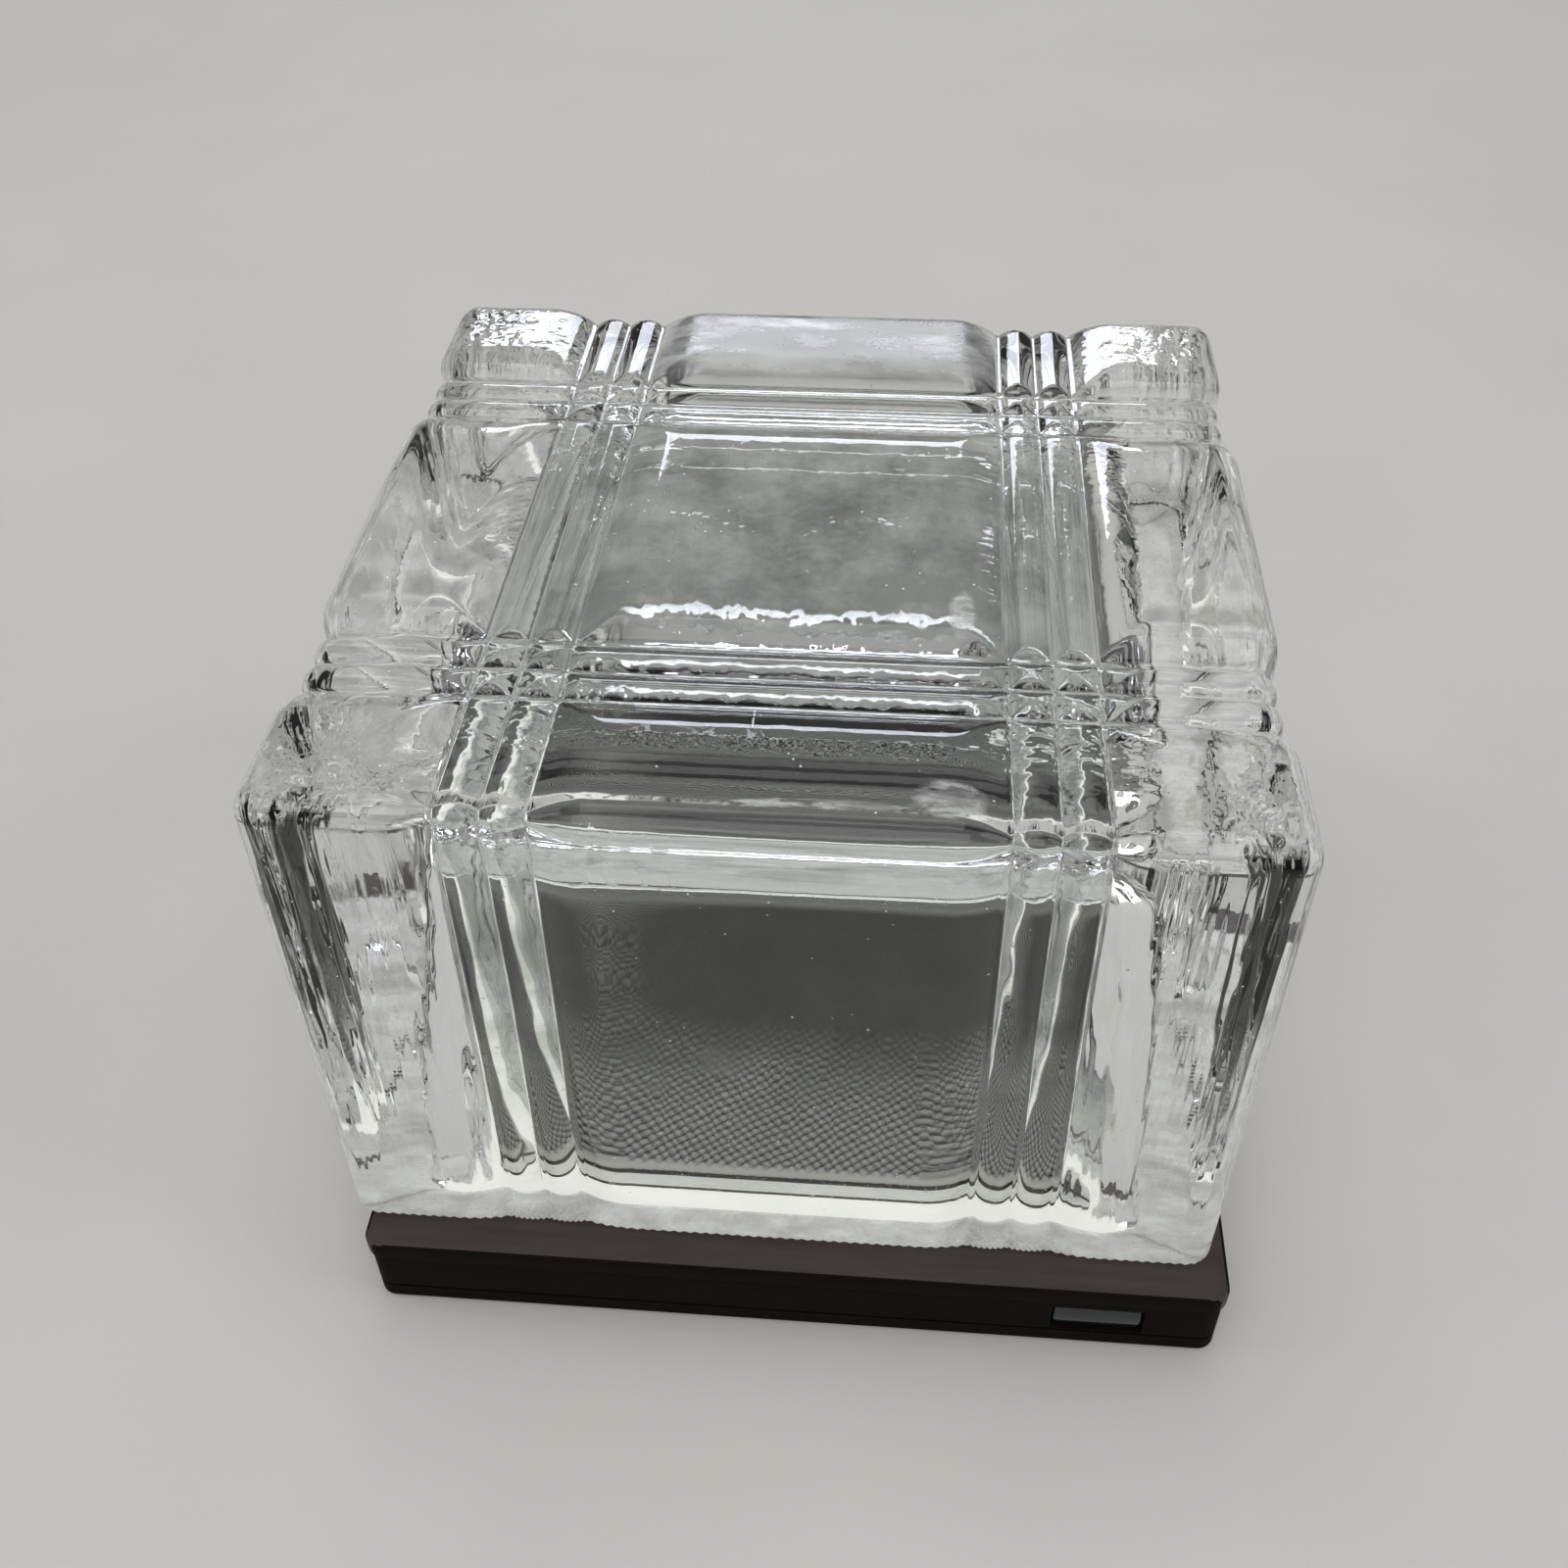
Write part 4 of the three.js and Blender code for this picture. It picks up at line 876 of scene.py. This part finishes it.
def button():
    """The button: a bar with a level ridge along its face, softly rounded all over."""
    low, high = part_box("power_button")
    middle = (low + high) / 2
    half_x, half_z = BUTTON_WIDTH / 2, (high.z - low.z) / 2
    slope = 0.35 * MM
    section = [(low.y, 0)]
    for turn in np.linspace(0.15, 1, 5):
        section.append((low.y + slope * turn ** 1.6, half_z * (0.12 + 0.88 * turn)))
    section += [(high.y - 0.5 * MM, half_z)]
    outline = section + [(y, -z) for y, z in reversed(section[1:])]
    # Sections along the bar: how far each is drawn in, and its place from end to end
    levels = ((0.35, -1), (0.08, -0.97), (0, -0.93), (0, 0.93), (0.08, 0.97), (0.35, 1))
    points = [
        (middle.x + half_x * x, y + inset * 0.3 * MM, middle.z + z * (1 - inset * 0.25))
        for inset, x in levels for y, z in outline]
    count = len(outline)
    faces = []
    for start in range(0, (len(levels) - 1) * count, count):
        for i in range(count):
            j = (i + 1) % count
            faces.append((start + i, start + count + i, start + count + j, start + j))
    faces += [tuple(range(count)), tuple(reversed(range(len(points) - count, len(points))))]
    bar = mesh_object("smoked_button", points, faces)
    work = bmesh.new()
    work.from_mesh(bar.data)
    bmesh.ops.recalc_face_normals(work, faces=work.faces)
    work.to_mesh(bar.data)
    work.free()
    bar.data.set_sharp_from_angle(angle=math.radians(40))
    return bar


# ---- The object -------------------------------------------------------------------------

satin, matt = satin_abs(), matt_abs()
nickel = plated_metal("steel_nickel_plated", "a9a9a4", "d2d2cc", 0.2, 0.4)
zinc = plated_metal("steel_black_zinc_plated", "222224", "3a3a3d", 0.3, 0.5)
opal = opal_acrylic(0.35)

finish_piece(clear_cube(), None, "cube", "clear_moulding", "display_cube")
pad = finish_piece(woven_pad(), charcoal_weave(), "root", "grey_cloth", "woven_pad")
finish_piece(deck(), None, "root", "dark_satin_plastic", "deck_plate")
finish_piece(opal_ring(), opal, "root", "opal_plastic", "light_ring")
finish_piece(body_wall(), matt, "root", "black_matt_plastic", "base_body")
finish_piece(button(), smoked_polycarbonate(), "button", "smoked_plastic", "power_button")

CARRIED_OVER = {
    matt: ["bottom_cover", "battery_door", "cell_holder", "switch_housing", "resistor"],
    opal_acrylic(0.0): ["switch_plunger"],
    nickel: ["bridge_plate", "coin_cell_left", "coin_cell_right", "cell_contact_left",
             "cell_contact_right"],
    white_laminate(): ["led_board"],
    diode_epoxy(): [f"led_{i}" for i in range(1, 9)],
    zinc: [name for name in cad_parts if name.startswith("case_screw")],
    moulded_rubber(): [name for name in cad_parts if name.startswith("rubber_foot")],
}
for surface, names in CARRIED_OVER.items():  # the CAD's own meshes, given their materials
    for name in names:
        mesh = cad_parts[name].data
        mesh.materials.clear()
        mesh.materials.append(surface)

# ---- The studio -------------------------------------------------------------------------


def pale_floor():
    """A wide pale matt sheet, smooth and a little uneven in tone."""
    made, tree, shader, place = material("pale_paper_calendered", IOR=1.45, Roughness=0.7)
    cloud = node(tree, "ShaderNodeTexNoise", {"Vector": place, "Scale": per_mm(60), "Detail": 3.0})
    tones = node(tree, "ShaderNodeValToRGB", {"Fac": cloud.outputs["Fac"]},
                 stops=[(0.2, "cac8c4"), (0.9, "d2d0cc")])
    tree.links.new(tones.outputs["Color"], shader.inputs["Base Color"])
    reach = 2.0
    corners = [(-reach, -reach, 0), (reach, -reach, 0), (reach, reach, 0), (-reach, reach, 0)]
    floor = mesh_object("floor", corners, [(0, 1, 2, 3)])
    floor.data.materials.append(made)


def softbox(name, place, size, power, colour="ffffff"):
    """A rectangular lamp that faces the object."""
    data = bpy.data.lights.new(name, "AREA")
    data.shape, data.size, data.size_y = "RECTANGLE", size[0], size[1]
    data.energy = power
    data.color = srgb(colour)[:3]
    lamp = bpy.data.objects.new(name, data)
    lamp.location = place
    target = Vector((0, 0, 0.03))
    lamp.rotation_euler = (target - Vector(place)).to_track_quat("-Z", "Y").to_euler()
    scene.collection.objects.link(lamp)


def soft_sky():
    """A grey room: brightest overhead, darker towards the horizon."""
    world = bpy.data.worlds.new("grey_room")
    scene.world = world
    world.use_nodes = True
    tree = world.node_tree
    direction = node(tree, "ShaderNodeTexCoord").outputs["Generated"]
    height = node(tree, "ShaderNodeSeparateXYZ", {0: direction}).outputs["Z"]
    sky = node(tree, "ShaderNodeValToRGB", {"Fac": height},
               stops=[(0.02, "9a9896"), (0.35, "b4b4b2"), (0.85, "f6f6f4")])
    background = tree.nodes["Background"]
    tree.links.new(sky.outputs["Color"], background.inputs["Color"])
    background.inputs["Strength"].default_value = 0.42


def camera():
    """A hand-held view from the front and above, turned a little to the left, not quite level."""
    data = bpy.data.cameras.new("camera")
    data.sensor_width, data.lens = 36, 38.13
    data.clip_start, data.clip_end = 0.005, 20
    made = bpy.data.objects.new("camera", data)
    heading, tilt, roll = math.radians(5.29), math.radians(42.6), math.radians(-0.95)
    turned = Matrix.Rotation(heading, 4, "Z") @ Matrix.Rotation(math.pi / 2 - tilt, 4, "X")
    place = Matrix.Translation((8.2 * MM, -118.3 * MM, 137.4 * MM))
    made.matrix_world = place @ turned @ Matrix.Rotation(roll, 4, "Z")
    scene.collection.objects.link(made)
    scene.camera = made


pale_floor()
soft_sky()
softbox("front_key", (0.0, -0.6, 0.8), (1.0, 0.6), 2.8)
softbox("overhead", (0.0, 0.1, 0.9), (0.6, 0.5), 1.4)
softbox("window_behind", (-0.05, 0.75, 0.425), (0.38, 0.11), 1.05, "edf2ff")
softbox("left_strip", (-0.7, 0.0, 0.3), (0.35, 0.9), 1.5)
softbox("right_strip", (0.7, -0.1, 0.3), (0.35, 0.9), 1.5)
camera()
scene.view_settings.view_transform = "Standard"
scene.cycles.max_bounces = 24
scene.cycles.transmission_bounces = 24
scene.cycles.transparent_max_bounces = 16
